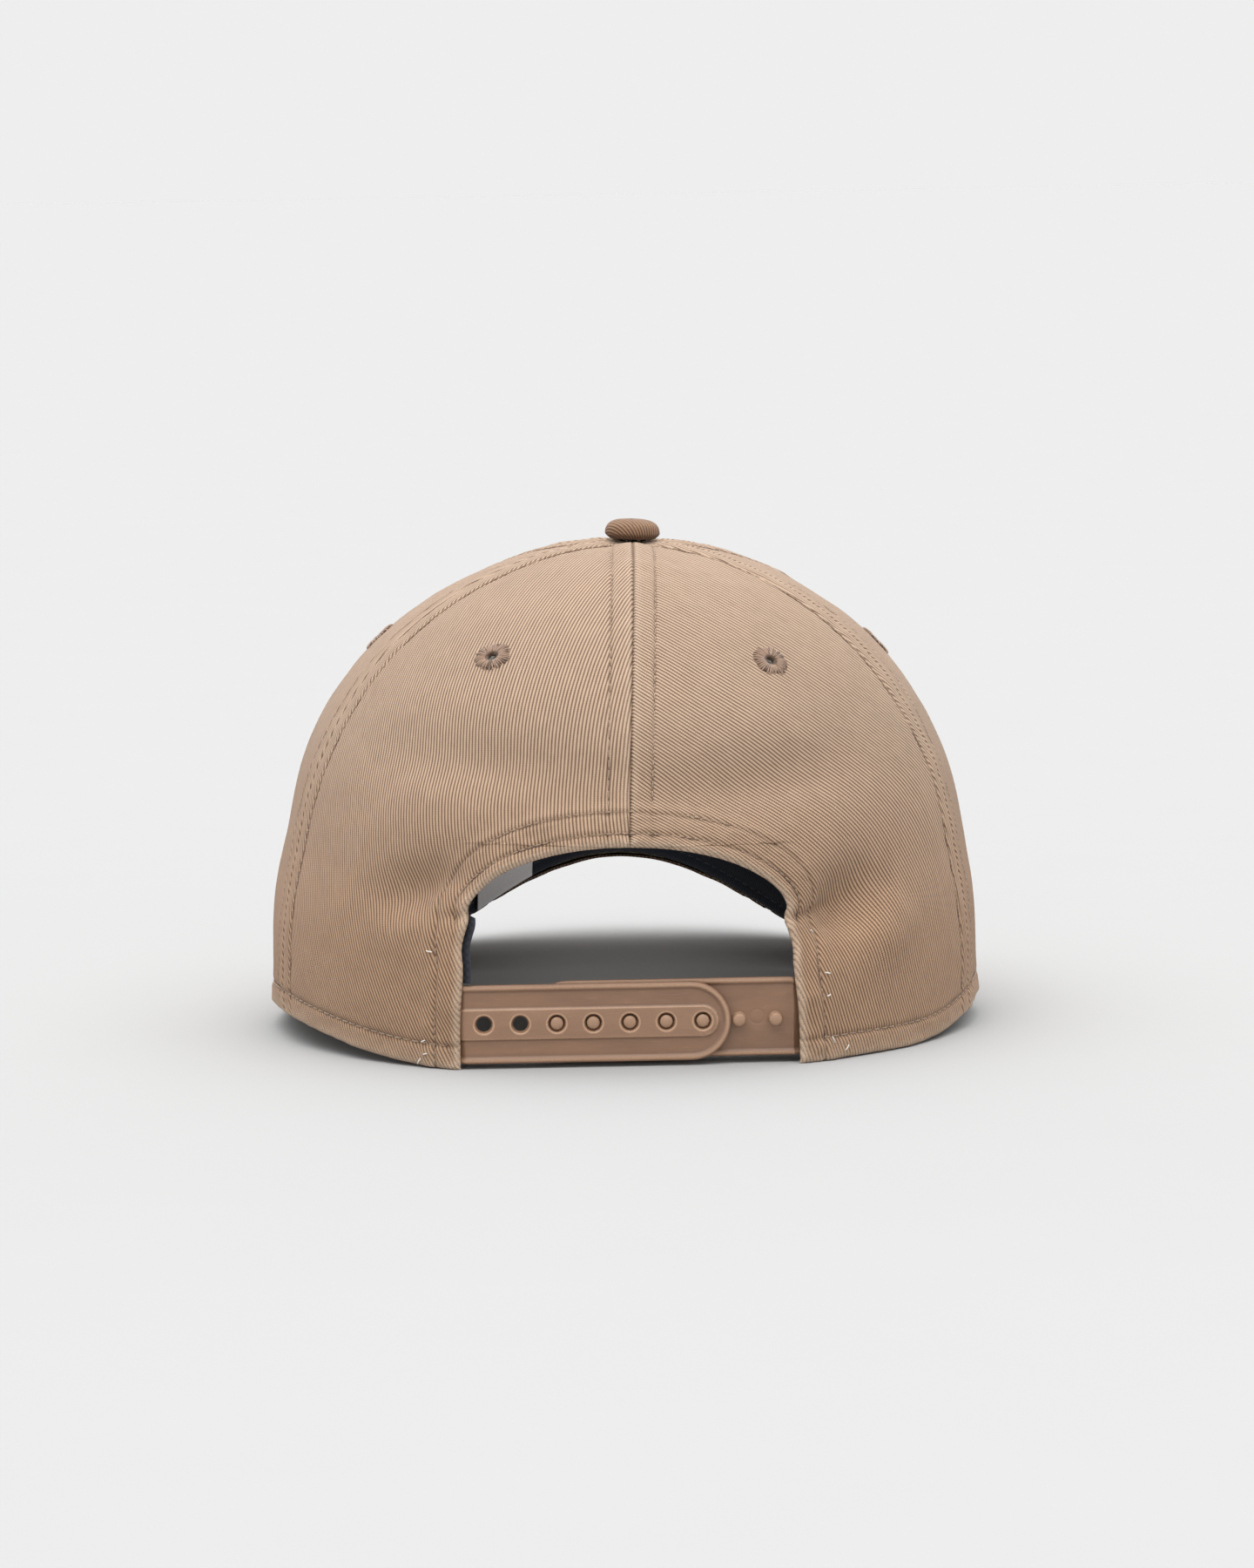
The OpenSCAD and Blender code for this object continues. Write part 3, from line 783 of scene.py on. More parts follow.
def row_heights(back):
    """Levels of a panel's rows, closest together at the hem and round the arch."""
    low = [0, 0.1, 0.28, 0.55, 0.9, 1.4, 2, 2.8, 3.7, 4.6, 5.3, 5.8, 6.2, 6.6, 7.1, 7.8, 8.6]
    if not back:
        return np.concatenate([low, height_of(np.linspace(share_of(9.6), CLOTH_END, 118))])
    step = np.linspace(0, 1, 46)[:-1]
    arch = OPENING_SIDE_H + ARCH_TOP * (0.45 * step + 0.55 * np.sin(pi / 2 * step))
    upper = np.arange(OPENING_H, OPENING_H + 14, 0.55)
    return np.concatenate([low, np.arange(9.4, OPENING_SIDE_H - 0.3, 0.85), arch, upper,
                           height_of(np.linspace(share_of(upper[-1] + 1), CLOTH_END, 82))])


# Zones across a panel from its first seam: how wide each is, and how far apart its columns are
BACK_ZONES = [(1.2, 0.2), (3, 0.35), (8, 0.45), (38, 0.62), (44, 1.1), (7, 0.5), (3.6, 0.3), (1.2, 0.2)]
SIDE_ZONES = [(1.2, 0.2), (3.6, 0.3), (6, 0.5), (63, 1.15), (6, 0.5), (3.6, 0.3), (1.2, 0.2)]


def panel_grid(seams, side, back):
    """Angles and heights of a panel's grid, and the angles of its two seams."""
    level = row_heights(back)[:, None]
    steps = np.concatenate([np.full(round(width / gap), gap)
                            for width, gap in (BACK_ZONES if back else SIDE_ZONES)])
    across = np.concatenate([[0], np.cumsum(steps)]) / steps.sum()
    seam_a, seam_b = (seam_angle(seam, share_of(level)) for seam in seams)
    start = np.where(level < OPENING_H, opening_angle(level), seam_a) if back else seam_a
    phi = start + (seam_b - start) * across
    if side < 0:
        phi, seam_a, seam_b = -phi[:, ::-1], -seam_b, -seam_a
    return phi, above_hem(phi, level), seam_a, seam_b


def sewn_edge(d, pad, rows, creases, worn):
    """Relief, wear and painted shade of the cloth at a distance from an edge or a seam.

    pad is the raised band: its height, its rise, where it ends and its fall. rows are the sunk
    rows of stitches: place, depth, width, the painted shade in the groove and that shade's width.
    creases are a field, where it ends and its fall. worn are strength, place and width.
    """
    height, rising, pad_end, pad_fall = pad
    field, crease_end, crease_fall = creases
    relief = height * smooth(d / rising) * fade(d, pad_end, pad_fall)
    relief = relief + field * fade(d, crease_end, crease_fall)
    relief = relief - sum(depth * hump(d - place, width) for place, depth, width, _, _ in rows)
    wear_and_highlight = sum(strength * hump(d - place, width) for strength, place, width in worn)
    return relief, wear_and_highlight, sum(shade * hump(d - place, width) for place, _, _, shade, width in rows)


def panel(name, side, seams, eyelet, turn=(27, 27), back=False):
    """One cloth panel with its seam allowances, folded edges, stitch grooves and grain. turn is the
    lean of the ribs, in degrees, low down and high up."""
    phi, z, seam_a, seam_b = panel_grid(seams, side, back)
    base = crown(phi, z)
    across_mm = CROWN_W * shrink(phi, z)
    to_seams = [np.abs(phi - seam) * across_mm for seam in (seam_a, seam_b)]
    to_hem = z - hem(phi)
    to_arch = np.full(phi.shape, 99.0)
    if back:
        near = z < OPENING_H + 16
        to_arch[near] = gap_to(base[near], crown(*opening_curve(-1, 0, 1500)))
        centre = 1 if side < 0 else 0
        to_seams[centre] = np.where(z < OPENING_H - 0.1, 99, to_seams[centre])

    pucker = noise(base, 3.6, 11) * 0.6 + noise(base, 1.9, 12) * 0.4
    crinkle = noise(base, 8.0, 13)
    round_arch = smooth((z - INNER_ROW_END + 1) / 2)
    arch_outer = ARCH_ROWS[1] - ARCH_ROW_DIP * smooth((OPENING_SIDE_H + 8 - z) / 20)
    # The ditch of each seam and the grooves of the stitch rows get painted shade: darker cloth where shade
    # falls in them.
    worked = [sewn_edge(to_hem, (0.08, 1.6, 4.2, 2.4), [(HEM_ROW, 0.44, 0.75, 0.35, 0.5)],
                        (0.32 * pucker + 0.3 * crinkle, 4, 8), [(0.75, 0.4, 1.2), (0.25, 3, 2)]),
              sewn_edge(to_arch, (0.4, 1.2, 9.5, 3.2),
                        [(ARCH_ROWS[0], 0.5 * round_arch, 0.6, 0.25 * round_arch, 0.4),
                         (arch_outer, 0.45, 0.6, 0.3, 0.4)],
                        (0.34 * pucker + 0.35 * crinkle, 7, 7), [(0.8, 0.4, 1.1)])]
    for d in to_seams:
        relief, wear_and_highlight, painted_shade = sewn_edge(d, (0.24, 0.9, 4.4, 3.0),
                                        [(0, 0.6, 0.32, 0.5, 0.22), (SEAM_ROW, 0.42, 0.55, 0.1, 0.35)],
                                        (0.26 * pucker + 0.2 * crinkle, 5, 6), [(0.22, 1.2, 0.9)])
        worked.append((smooth((TOP_Z + 0.4 - z) / 1.2) * relief, wear_and_highlight, painted_shade))
    lift, wear_and_highlight, painted_shade = (sum(part) for part in zip(*worked))
    lift = lift * smooth((TOP_Z + 0.3 - z) / 0.8) + 0.12 * noise(base, 5.5, 14)

    edge = np.minimum(to_hem, to_arch)
    thick = CLOTH_T + (FOLD_T - CLOTH_T) * fade(edge, 6, 1.5)
    fold = FOLD_T / 2 * rolled(edge, FOLD_R)
    normal = crown_normal(phi, z)
    under_button = 0.2 * smooth((z - TOP_Z + 0.5) / 0.5)
    outer = base + (lift - fold - under_button)[..., None] * normal
    inner = base + (0.35 * np.minimum(lift, 0.3) - thick + 0.96 * fold)[..., None] * normal

    gore_x = (phi - (seam_a + seam_b) / 2) * across_mm
    centre_line = crown((seam_a + seam_b)[:, 0] / 2, z[:, phi.shape[1] // 2])
    gore_y = run_length(centre_line[:, [0, 2]] * (0.3, 1))[:, None]
    angle = np.radians(turn[0] + (turn[1] - turn[0]) * smooth((z - 15) / 60))
    drift = np.cumsum(np.sin(angle) * np.diff(gore_y, axis=0, prepend=gore_y[:1]), axis=0)
    weave = stacked(gore_x * np.cos(angle) + drift, gore_y * np.cos(angle) - gore_x * np.sin(angle))
    make_shell(name, outer, inner, TWILL, "twill", weave / TWILL_PITCH, np.clip(wear_and_highlight, 0, 1),
               np.clip(painted_shade, 0, 1), off_eyelet(outer, side, eyelet, 0, EYELET_HOLE))


def make_panels():
    panel("back_panel_left", -1, ("back", "rear_side"), "back", (28, 14), True)
    panel("back_panel_right", 1, ("back", "rear_side"), "back", (20, 52), True)
    for side, end in ((-1, "left"), (1, "right")):
        panel("side_panel_" + end, side, ("rear_side", "front_side"), "side")
        panel("front_panel_" + end, side, ("front_side", "front"), "front")


# ---------------------------------------------------------------- stitching on the crown

def make_stitches():
    """Every row of stitches in the crown's outer cloth, one object for each seam or edge."""
    groups = {}
    for seam, side, end in SEAM_LINES:
        low = OPENING_H + ARCH_ROWS[1] + 0.6 if seam == "back" else HEM_ROW + 1
        phi, z = seam_path(seam, side, low, SEAM_ROW_END_R, 500)
        rows = [crown_row(phi + angle_of(offset, phi, z), z, SEAM_SINK) for offset in (-SEAM_ROW, SEAM_ROW)]
        groups[seam + "_seam" + end] = (SEAM_PITCH, rows)
    start = opening_angle(np.array(HEM_ROW)) + angle_of(ARCH_ROWS[0], 0.4, HEM_ROW)
    phi = np.linspace(start, tau - start, 1600)
    groups["hem"] = (HEM_PITCH, [crown_row(phi, hem(phi) + HEM_ROW, HEM_SINK)])

    def outer_row(turn):
        return ARCH_ROWS[1] - ARCH_ROW_DIP * (1 - np.sin(turn)) ** 2

    inner, outer = (opening_curve(0.8, offset, 900) for offset in (ARCH_ROWS[0], outer_row))
    inner = [values[inner[1] > INNER_ROW_END] for values in inner]
    groups["opening"] = (ARCH_PITCH, [crown_row(phi, z, ARCH_SINK) for phi, z in (inner, outer)])
    for name, (pitch, rows) in groups.items():
        make_piece("stitches_" + name, [stitch_parts(*row, pitch, THREAD_W, THREAD_LIFT) for row in rows],
                   THREAD, "eyelet_thread")
        # Needle holes with painted shade where each stitch dives into the cloth.
        make_piece("needle_hole_shades_" + name, [hole for row in rows for hole in hole_shade_parts(*row, pitch)],
                   NEEDLE_HOLE_SHADE, "eyelet_thread")


def make_seam_picks():
    """Short needle stitches that show down in the ditch of each seam."""
    parts = []
    for seam, side, _ in SEAM_LINES:
        phi, z = seam_path(seam, side, OPENING_H + 1.5 if seam == "back" else 1.5, PICK_END_R, 400)
        middle = resample(crown(phi, z, 0.78), 1.45)[0]
        at = np.arange(len(middle)) / (len(middle) - 1) * (len(phi) - 1)
        up = crown_normal(*(np.interp(at, np.arange(len(phi)), values) for values in (phi, z)))
        across = unit(np.cross(up, np.gradient(middle, axis=0)))
        for p, a, n in zip(middle, across, up):
            bar = np.array([p - 0.55 * a + 0.3 * n, p - 0.2 * a, p + 0.2 * a, p + 0.55 * a + 0.3 * n])
            parts.append(tube_parts(bar, 0.13, 4, n))
    make_piece("seam_needle_stitches", parts, SEAM_THREAD, "eyelet_thread")


# Angle and height of each loose thread end
LOOSE_ENDS = [(-0.56, 30.5), (-0.585, 7.2), (-0.58, 3.8), (-0.6, 1.8), (0.535, 34.6), (0.56, 23.2),
              (0.56, 17.4), (0.575, 5.6), (0.62, 3.0)]


def make_loose_threads():
    """A few cut thread ends caught in the hem and at the opening's corners."""
    rng = np.random.default_rng(RNG_SEED + 70)
    up = np.array([0, 0, 1.0])
    t = np.linspace(0, 1, 7)[:, None]
    parts = []
    for phi, z in LOOSE_ENDS:
        start, n = crown(phi, z, -0.5), crown_normal(phi, z)
        length = rng.uniform(1.0, 2.0)
        turn = rng.uniform(-1.2, 1.2)
        way = math.cos(turn) * unit(np.cross(n, up)) + math.sin(turn) * up
        path = start + length * (t - 0.5) * way + (0.35 - 1.1 * (t - 0.5) ** 2) * n
        parts.append(tube_parts(path, 0.19, 5, n))
    make_piece("loose_thread_ends", parts, LOOSE_THREAD, "eyelet_thread")


# ---------------------------------------------------------------- eyelets and button

# Distance from the eyelet's middle, height and width of a strand, from its inner end. The last
# three distances are from the strand's outer end.
STRAND_R = [1.45, 1.6, 2.1, 3.1, -0.75, -0.12, 0]
STRAND_H = [-1.5, -0.3, 0.75, 1.0, 0.75, 0.15, -0.7]
STRAND_W = [0.3, 0.5, 0.75, 1, 1, 0.9, 0.6]
EYELET_SQUASH = 0.9
# What the name ends in, material, number of strands, their radius, height and reach
# The first layer is dark thread under the embroidery: painted shade that shows in its gaps.
EYELET_LAYERS = [("_underlay", EYELET_SHADE, 34, 0.42, 0.12, 4.7),
                 ("_embroidery", EYELET_THREAD, 41, 0.2, 0.42, 5.2)]


def make_eyelet(name, phi, seed):
    """Embroidered air hole: a ragged fan of satin stitches that dive into a small hole."""
    centre, n = crown(phi, EYELET_H), crown_normal(phi, EYELET_H)
    across = unit(np.cross((0, 0, 1.0), n))
    up = np.cross(n, across)
    rng = np.random.default_rng(RNG_SEED + seed)
    for layer, (ending, material, count, radius, tall, reach) in enumerate(EYELET_LAYERS):
        parts = []
        for i in range(count):
            turn = tau * (i + 0.5 * layer + rng.uniform(-0.2, 0.2)) / count
            swing = rng.uniform(-0.05, 0.05)
            end = reach + rng.uniform(-0.75, 0.6)
            height = tall + rng.uniform(-0.06, 0.1)
            r = np.array(STRAND_R) + end * (np.arange(7) > 3)
            at = turn + swing * np.linspace(-1, 1, 7)
            x, y = r * np.cos(at), EYELET_SQUASH * r * np.sin(at)
            h = np.array(STRAND_H) * height + 0.12 - r * r / 190
            path = centre + x[:, None] * across + y[:, None] * up + h[:, None] * n
            parts.append(tube_parts(path, radius * (0.55 + 0.45 * np.array(STRAND_W)), 5, n))
        # A dark ring just inside the hole: painted shade.
        if layer == 0:
            turn = np.linspace(0, tau, 33)[:, None]
            collar = centre + 1.7 * np.cos(turn) * across + 1.35 * np.sin(turn) * up - 0.45 * n
            parts.append(tube_parts(collar, 0.34, 6, n))
        make_piece(name + ending, parts, material, "eyelet_thread", stands_for=[name])


BUTTON_TILT = 0.045
BUTTON_PITCH = 0.9
BUTTON_GRAIN = radians(32)


def grain(x, y, angle, pitch):
    """Weave numbers of cloth laid flat with its ribs at an angle."""
    c, s = math.cos(angle), math.sin(angle)
    return stacked(x * c + y * s, y * c - x * s) / pitch


def make_button():
    """Cloth drawn over the domed shell, with small pleats where it is gathered under the rim."""
    low, high = node_box("button_cover")
    height, radius = high[2] - low[2], (high[0] - low[0]) / 2
    turn = np.linspace(0, tau, 121)
    dome = pi / 2 * np.linspace(0, 1, 26)[:-1]
    profile = np.concatenate([[(0.8, 0.02), (0.9, 0.05), (0.955, 0.12)],
                              stacked(np.cos(dome) ** 0.52, 0.22 + 0.78 * np.sin(dome) ** 0.92),
                              [(0.16, 0.999), (0.05, 1.0)]]) * (radius, height)
    r, h = profile[:, :1], profile[:, 1:]
    pleat = np.sin(turn * 13 + 1.3 * np.sin(turn * 3 + 1)) * 0.5 + 0.5 * np.sin(turn * 7 + 2)
    below = fade(h / height, 0, 0.5)
    r = r * (1 - 0.012 * below * pleat) - 0.1 * below * np.abs(pleat)
    h = h + 0.1 * noise(stacked(r * np.cos(turn), r * np.sin(turn), h), 3.5, 31)
    middle = lean(np.array([0, 0, low[2] + 1.0]))

    def cover(scale, drop):
        x, y = scale * r * np.sin(turn), -scale * r * np.cos(turn)
        return stacked(middle[0] + x, middle[1] + y, low[2] + (h - drop) - BUTTON_TILT * x - 0.15)

    run = run_length(profile)
    run = (run[-1] - run)[:, None]
    weave = grain(run * np.sin(turn), -run * np.cos(turn), BUTTON_GRAIN, BUTTON_PITCH)
    up = h / height
    # The upper dome is lightened through wear_and_highlight; the cloth is darkened towards its base under
    # the rim as painted shade.
    make_shell("button_cover", cover(1, 0), cover(0.93, 0.45), BUTTON_CLOTH, "twill", weave,
               0.35 * hump(up - 0.8, 0.25), 0.5 * fade(up, 0, 0.35))


def revolve(profile, sides=64):
    """Closed ring of points and faces from a half profile of radius and height."""
    r, h = np.array(profile).T[..., None]
    turn = turns(sides)
    index = np.arange(len(r) * sides).reshape(1, len(r), sides)
    faces = wall_faces(np.concatenate([index, index[:, :1]], 1))
    return stacked(r * np.cos(turn), r * np.sin(turn), h).reshape(-1, 3), faces


def make_button_fittings():
    """Domed shell under the cloth, the rivet through the crown and the plate inside it."""
    domed = [(5.6 * math.cos(a) ** 0.6 + 0.02, 1.7 + 2.2 * math.sin(a)) for a in np.linspace(0, 1.5, 12)]
    under = [(r * 0.93, h - 0.35) for r, h in domed[::-1]]
    profiles = {
        "button_shell": [(6.1, 1.1), (6.1, 1.5)] + domed + under + [(5.5, 1.2)],
        "button_stud": [(0.02, -4.0), (1.2, -4.0), (1.45, -3.7), (1.45, 1.2), (4.6, 1.35), (4.8, 1.6),
                        (4.6, 1.8), (0.02, 1.8)],
        "button_back_plate": [(1.5, -3.3), (7.6, -3.4), (8.4, -3.1), (8.9, -2.75), (8.9, -2.5),
                              (8.2, -2.6), (7.2, -2.8), (1.5, -2.8)],
    }
    for name, profile in profiles.items():
        points, faces = revolve(profile[::-1])
        new_object(name, lean(points + (0, 0, CROWN_H)), faces, METAL, "button_metal", stands_for=[name])


# ---------------------------------------------------------------- inside the crown

BAND_START = math.asin((OPENING_W + 4) / CROWN_W)
BAND_DEPTH, BAND_T, BAND_H = 5.2, 1.2, 32.0
BAND_LOW = 0.6
BAND_SEAMS = (0.1, 0.92)                # its two stitched lines, as shares of its height
CORE_START = BAND_START + radians(12)
CORE_DEPTH, CORE_T = 3.45, 1.5
LABEL_SPAN = (radians(196.5), radians(207.5))


def band(name, span, low, high, depth, thick, material, slot, shape, pitch, cols, rows):
    """A strip round the inside of the crown. shape gives extra depth from share up and point."""
    phi = np.linspace(*span, cols) + np.zeros((rows, 1))
    t = (1 - np.cos(np.linspace(0, pi, rows)))[:, None] / 2
    z = hem(phi) + low + (high - low) * t
    point = crown(phi, z, depth)
    extra = shape(t, point)
    edge = np.minimum(t, 1 - t) * (high - low)
    turned = thick / 2 * 0.95 * rolled(edge, thick / 2)
    normal = crown_normal(phi, z)
    outer = point - (extra + turned)[..., None] * normal
    inner = point - (extra + thick - turned)[..., None] * normal
    run = run_length(point[0])
    weave = stacked(run + 0.5 * z, z - 0.5 * run) / pitch
    # For the sweatband, the painted shade darkens it towards its upper edge, up inside the crown; the wear
    # lightens its rolled edges.
    return make_shell(name, outer, inner, material, slot, weave, 0.7 * hump(edge, 0.9), 0.2 * t)


def band_shape(t, point):
    """The sweatband is fullest at mid height, dips at its stitching and ripples a little."""
    dips = hump(t - BAND_SEAMS[0], 0.025) + hump(t - BAND_SEAMS[1], 0.02)
    return -0.5 + 0.7 * np.sin(pi * t) - 0.4 * dips + 0.35 * noise(point, 17, 41) * np.sin(pi * t)


def core_shape(t, point):
    return np.zeros(point.shape[:-1])


def label_shape(t, point):
    return 0.35 + 0.55 * np.sin(pi * (0.1 + 0.5 * t)) + 0.12 * noise(point, 6, 43)


def make_band():
    cover = band("sweatband", (BAND_START, tau - BAND_START), BAND_LOW, 1 + BAND_H, BAND_DEPTH, BAND_T,
                 BAND_CLOTH, "sweatband", band_shape, 0.7, 360, 28)
    core = band("sweatband_core", (CORE_START, tau - CORE_START), 2, BAND_H - 2, CORE_DEPTH, CORE_T,
                FOAM, "foam", core_shape, 0.8, 240, 14)
    parts = []
    phi = np.linspace(BAND_START + 0.02, tau - BAND_START - 0.02, 1500)
    for share in BAND_SEAMS:
        z = hem(phi) + BAND_LOW + (BAND_H + 0.4) * share
        depth = BAND_DEPTH + BAND_T - 0.5 + 0.7 * math.sin(pi * share) - 0.4
        parts.append(stitch_parts(crown(phi, z, depth), -crown_normal(phi, z), LINING_PITCH, THREAD_W,
                                  THREAD_LIFT))
    make_piece("sweatband_stitches", parts, DARK_THREAD, "sweatband")
    band("blank_label", LABEL_SPAN, 1.2, 14, 6.75, 0.45, LABEL_CLOTH, "label", label_shape, 0.55, 60, 24)


TAPES = [("seam_tape_back", 1.55), ("seam_tape_back_left", 1.55), ("seam_tape_back_right", 1.55),
         ("seam_tape_side_left", 2.6), ("seam_tape_side_right", 2.6), ("seam_tape_front", 2.6)]
TAPE_ACROSS = np.array([-5, -4.7, -4.2, -3.8, -3.2, -2, -0.8, 0, 0.8, 2, 3.2, 3.8, 4.2, 4.7, 5])
TAPE_MIDDLE = 7
TAPE_ROWS = (3, 11)                     # the columns that are stitched
BINDING_ACROSS = np.array([0.0, 0.15, 0.5, 1.2, 2.2, 3.4, 5.0, 7.0, 8.3, 8.8, 9])
BINDING_MIDDLE = 4


def make_tapes():
    """Black tape down the inside of each seam, stitched near both edges."""
    for (name, depth), (seam, side, _) in zip(TAPES, SEAM_LINES):
        centre, z = seam_path(seam, side, OPENING_H + 9.3 if seam == "back" else 3, TAPE_END_R, 110)
        centre, z = centre[:, None], z[:, None]
        phi = centre + angle_of(TAPE_ACROSS, centre, z)
        z = z + 0 * phi
        puff = 0.32 * np.cos(pi / 10 * TAPE_ACROSS) - 0.2 * hump(np.abs(TAPE_ACROSS) - 3.8, 0.4)
        puff = np.maximum(puff + 0.12 * noise(crown(phi, z), 5, 44), -0.1)
        outer, inner = crown(phi, z, depth + 0.02), crown(phi, z, depth + 0.5 + puff)
        weave = stacked(TAPE_ACROSS, run_length(outer[:, TAPE_MIDDLE])[:, None])
        make_shell(name, outer, inner, TAPE_CLOTH, "black_tape", weave,
                   0.5 * hump(np.abs(TAPE_ACROSS) - 5, 0.5), 0.3 * hump(TAPE_ACROSS, 1))
        rows = [(inner[:, i], -crown_normal(phi[:, i], z[:, i])) for i in TAPE_ROWS]
        make_piece(name + "_stitches", [stitch_parts(*row, LINING_PITCH, 0.34, 0.1) for row in rows],
                   DARK_THREAD, "black_tape")


def make_arch_binding():
    """Black tape that faces the inside of the opening, and pokes out a little at its left corner."""
    def offset(d):
        return lambda turn: d + 0.4 - 2.1 * (turn > 3.05) * (1 - d / 9)

    phi, z = np.moveaxis([opening_curve(22.8, offset(d), 260) for d in BINDING_ACROSS], 0, 2)
    outer = crown(phi, z, 2.05)
    inner = crown(phi, z, 2.75 + 0.12 * noise(outer, 5, 45) - 0.2 * (BINDING_ACROSS < 0.1))
    weave = stacked(BINDING_ACROSS, run_length(outer[:, BINDING_MIDDLE])[:, None])
    wear_and_highlight = 0.6 * hump(BINDING_ACROSS, 0.6)
    make_shell("arch_binding", inner, outer, TAPE_CLOTH, "black_tape", weave, wear_and_highlight)


def make_buckram():
    """Open stiffened cloth behind each front panel."""
    share = np.linspace(0.04, 0.9, 70)[:, None]
    t = np.linspace(0.01, 0.99, 60)
    level = height_of(share)
    seam_a, seam_b = seam_angle("front_side", share), seam_angle("front", share)
    for side, name in ((-1, "buckram_left"), (1, "buckram_right")):
        phi = seam_a + (seam_b - seam_a) * t
        phi = phi if side > 0 else -phi[:, ::-1]
        z = above_hem(phi, level)
        outer, inner = crown(phi, z, 1.5), crown(phi, z, 2.3)
        weave = stacked(phi * CROWN_W * shrink(phi, z), level) / 1.4
        keep = off_eyelet(outer, side, "front", 1.5, 4)
        make_shell(name, outer, inner, BUCKRAM, "buckram", weave, keep=keep)


# ---------------------------------------------------------------- visor

VISOR_T = 3.0
VISOR_HALF_W = 84.0
VISOR_REACH = 68.0
VISOR_TIP_H = 27.0
VISOR_PITCH = 0.98
COVER_T = 0.6
VISOR_ROWS = [3.2 + 6.3 * row for row in range(8)]      # stitching, from the free edge
GROOVE_DEPTH = 0.42


def visor_edges(s):
    """Inner and outer edge of the visor's underside at a place across it, from -1 to 1."""
    phi = pi - s * (pi - VISOR_ANGLE)
    inner = crown(phi, hem(phi), -0.2)
    inner[..., 2] = hem(phi) - VISOR_T / 2
    turn = pi / 2 * s
    start_y = 0.8 - CROWN_FRONT * math.cos(VISOR_ANGLE)
    taper = 4.6 * (np.maximum(0, np.abs(s) - 0.8) / 0.2) ** 2
    x = np.sign(s) * (VISOR_HALF_W * np.abs(np.sin(turn)) ** 0.8 - taper)
    y = start_y + (CROWN_FRONT + VISOR_REACH - start_y) * np.maximum(np.cos(turn), 0) ** 0.8
    return inner, stacked(x, y, VISOR_TIP_H * np.cos(pi / 2 * x / (VISOR_HALF_W + 4)) ** 2)


def visor_grid():
    """Points of the visor's underside, closest together at its free edge and at its ends."""
    spread = pi / 2 * 0.97
    s = np.sin(np.linspace(-1, 1, 190) * spread) / math.sin(spread)
    t = np.linspace(0, 1, 84)
    t = t - 0.035 * np.sin(tau * t)
    t = 1 - (1 - t) ** 1.25
    inner, outer = visor_edges(s[None, ::-1])
    return inner + (outer - inner) * t[:, None, None]


def iso_row(surface, field, level):
    """Points where a field takes a level, one for each column of a grid."""
    path = []
    for column in range(4, field.shape[1] - 4):
        f = field[:, column]
        crossing = np.nonzero((f[:-1] >= level) & (f[1:] < level))[0]
        if len(crossing):
            i = crossing[-1]
            t = (f[i] - level) / (f[i] - f[i + 1])
            path.append(surface[i, column] + t * (surface[i + 1, column] - surface[i, column]))
    return np.array(path)


def make_visor():
    """Top and under cover, drawn over the board and quilted with rows of stitches."""
    sheet = visor_grid()
    to_edge = gap_to(sheet, resample(sheet[-1], 0.5)[0])
    normal = unit(np.cross(np.gradient(sheet, axis=0), np.gradient(sheet, axis=1)))
    normal = np.where(normal[..., 2:] < 0, -normal, normal)
    groove = sum(GROOVE_DEPTH * hump(to_edge - row, 0.6) for row in VISOR_ROWS)
    ripple = 0.12 * noise(sheet, 6, 51) + 0.1 * noise(sheet, 2.5, 52)
    bulge = 1.5 * (1 - rolled(to_edge, 1.6)) - groove * smooth(to_edge / 2)
    bulge = bulge + (ripple + 0.35) * smooth(to_edge / 3)
    weave = grain(sheet[..., 0], sheet[..., 1], radians(27), VISOR_PITCH)
    wear_and_highlight = 0.9 * hump(to_edge - 0.3, 1.1)
    # Painted shade in the quilting grooves.
    painted_shade = 0.27 * np.clip(groove / GROOVE_DEPTH, 0, 1)
    middle = sheet + (0, 0, VISOR_T / 2)
    for name, up, material, slot in (("visor_top_cover", 1, TWILL, "twill"),
                                     ("visor_under_cover", -1, LINING, "visor_lining")):
        outer = middle + up * (bulge + 0.02)[..., None] * normal
        inner = middle + up * np.maximum(bulge - COVER_T, 0.01)[..., None] * normal
        make_shell(name, *(outer, inner)[::up], material, slot, weave, wear_and_highlight, painted_shade)
        paths = [iso_row(outer, to_edge, row) for row in VISOR_ROWS]
        parts = [stitch_parts(path, np.tile((0, 0, float(up)), (len(path), 1)), QUILT_PITCH, THREAD_W, 0.1)
                 for path in paths if len(path) > 12]
        make_piece(name + "_stitches", parts, THREAD, "eyelet_thread")


# ---------------------------------------------------------------- closure

SNAP_PITCH = 9.5
SNAPS = 7
LAST_HOLE = 19.0
STRAP_W = 20.6
BEAD_W = 1.7
STRIP_W = 8.0
FIELD_DEPTH = 0.45
HOLE_R, MOUTH_R = 1.95, 2.5
TIP_PAST_HOLE = 7.3     # from the last hole to the strap's tip
HOLE_STRAP_T, PEG_STRAP_T = 1.8, 1.5
ROOT_L = 15.0
ROOT_TURN = 0.035       # how far round the crown the root sets off, in radians
HOLE_ROOT_DEPTH, PEG_ROOT_DEPTH = 2.0, 3.6              # of the roots below the outer cloth
HINGE_X = 41.5
SPARE_MARK = 33.2       # moulding mark between the two free pegs
SNAP_X = [LAST_HOLE - i * SNAP_PITCH for i in range(SNAPS)]

# Radius and height of a mushroom-headed peg
PEG_PROFILE = [(1.95, -0.1), (1.75, 0.1), (1.55, 0.4), (1.48, 0.9), (1.46, 1.5), (1.62, 1.85),
               (1.7, 2.05), (1.7, 2.25), (1.6, 2.45), (1.38, 2.6), (1.0, 2.72), (0.5, 2.79), (0.12, 2.8)]
PEG_SIDES = 36


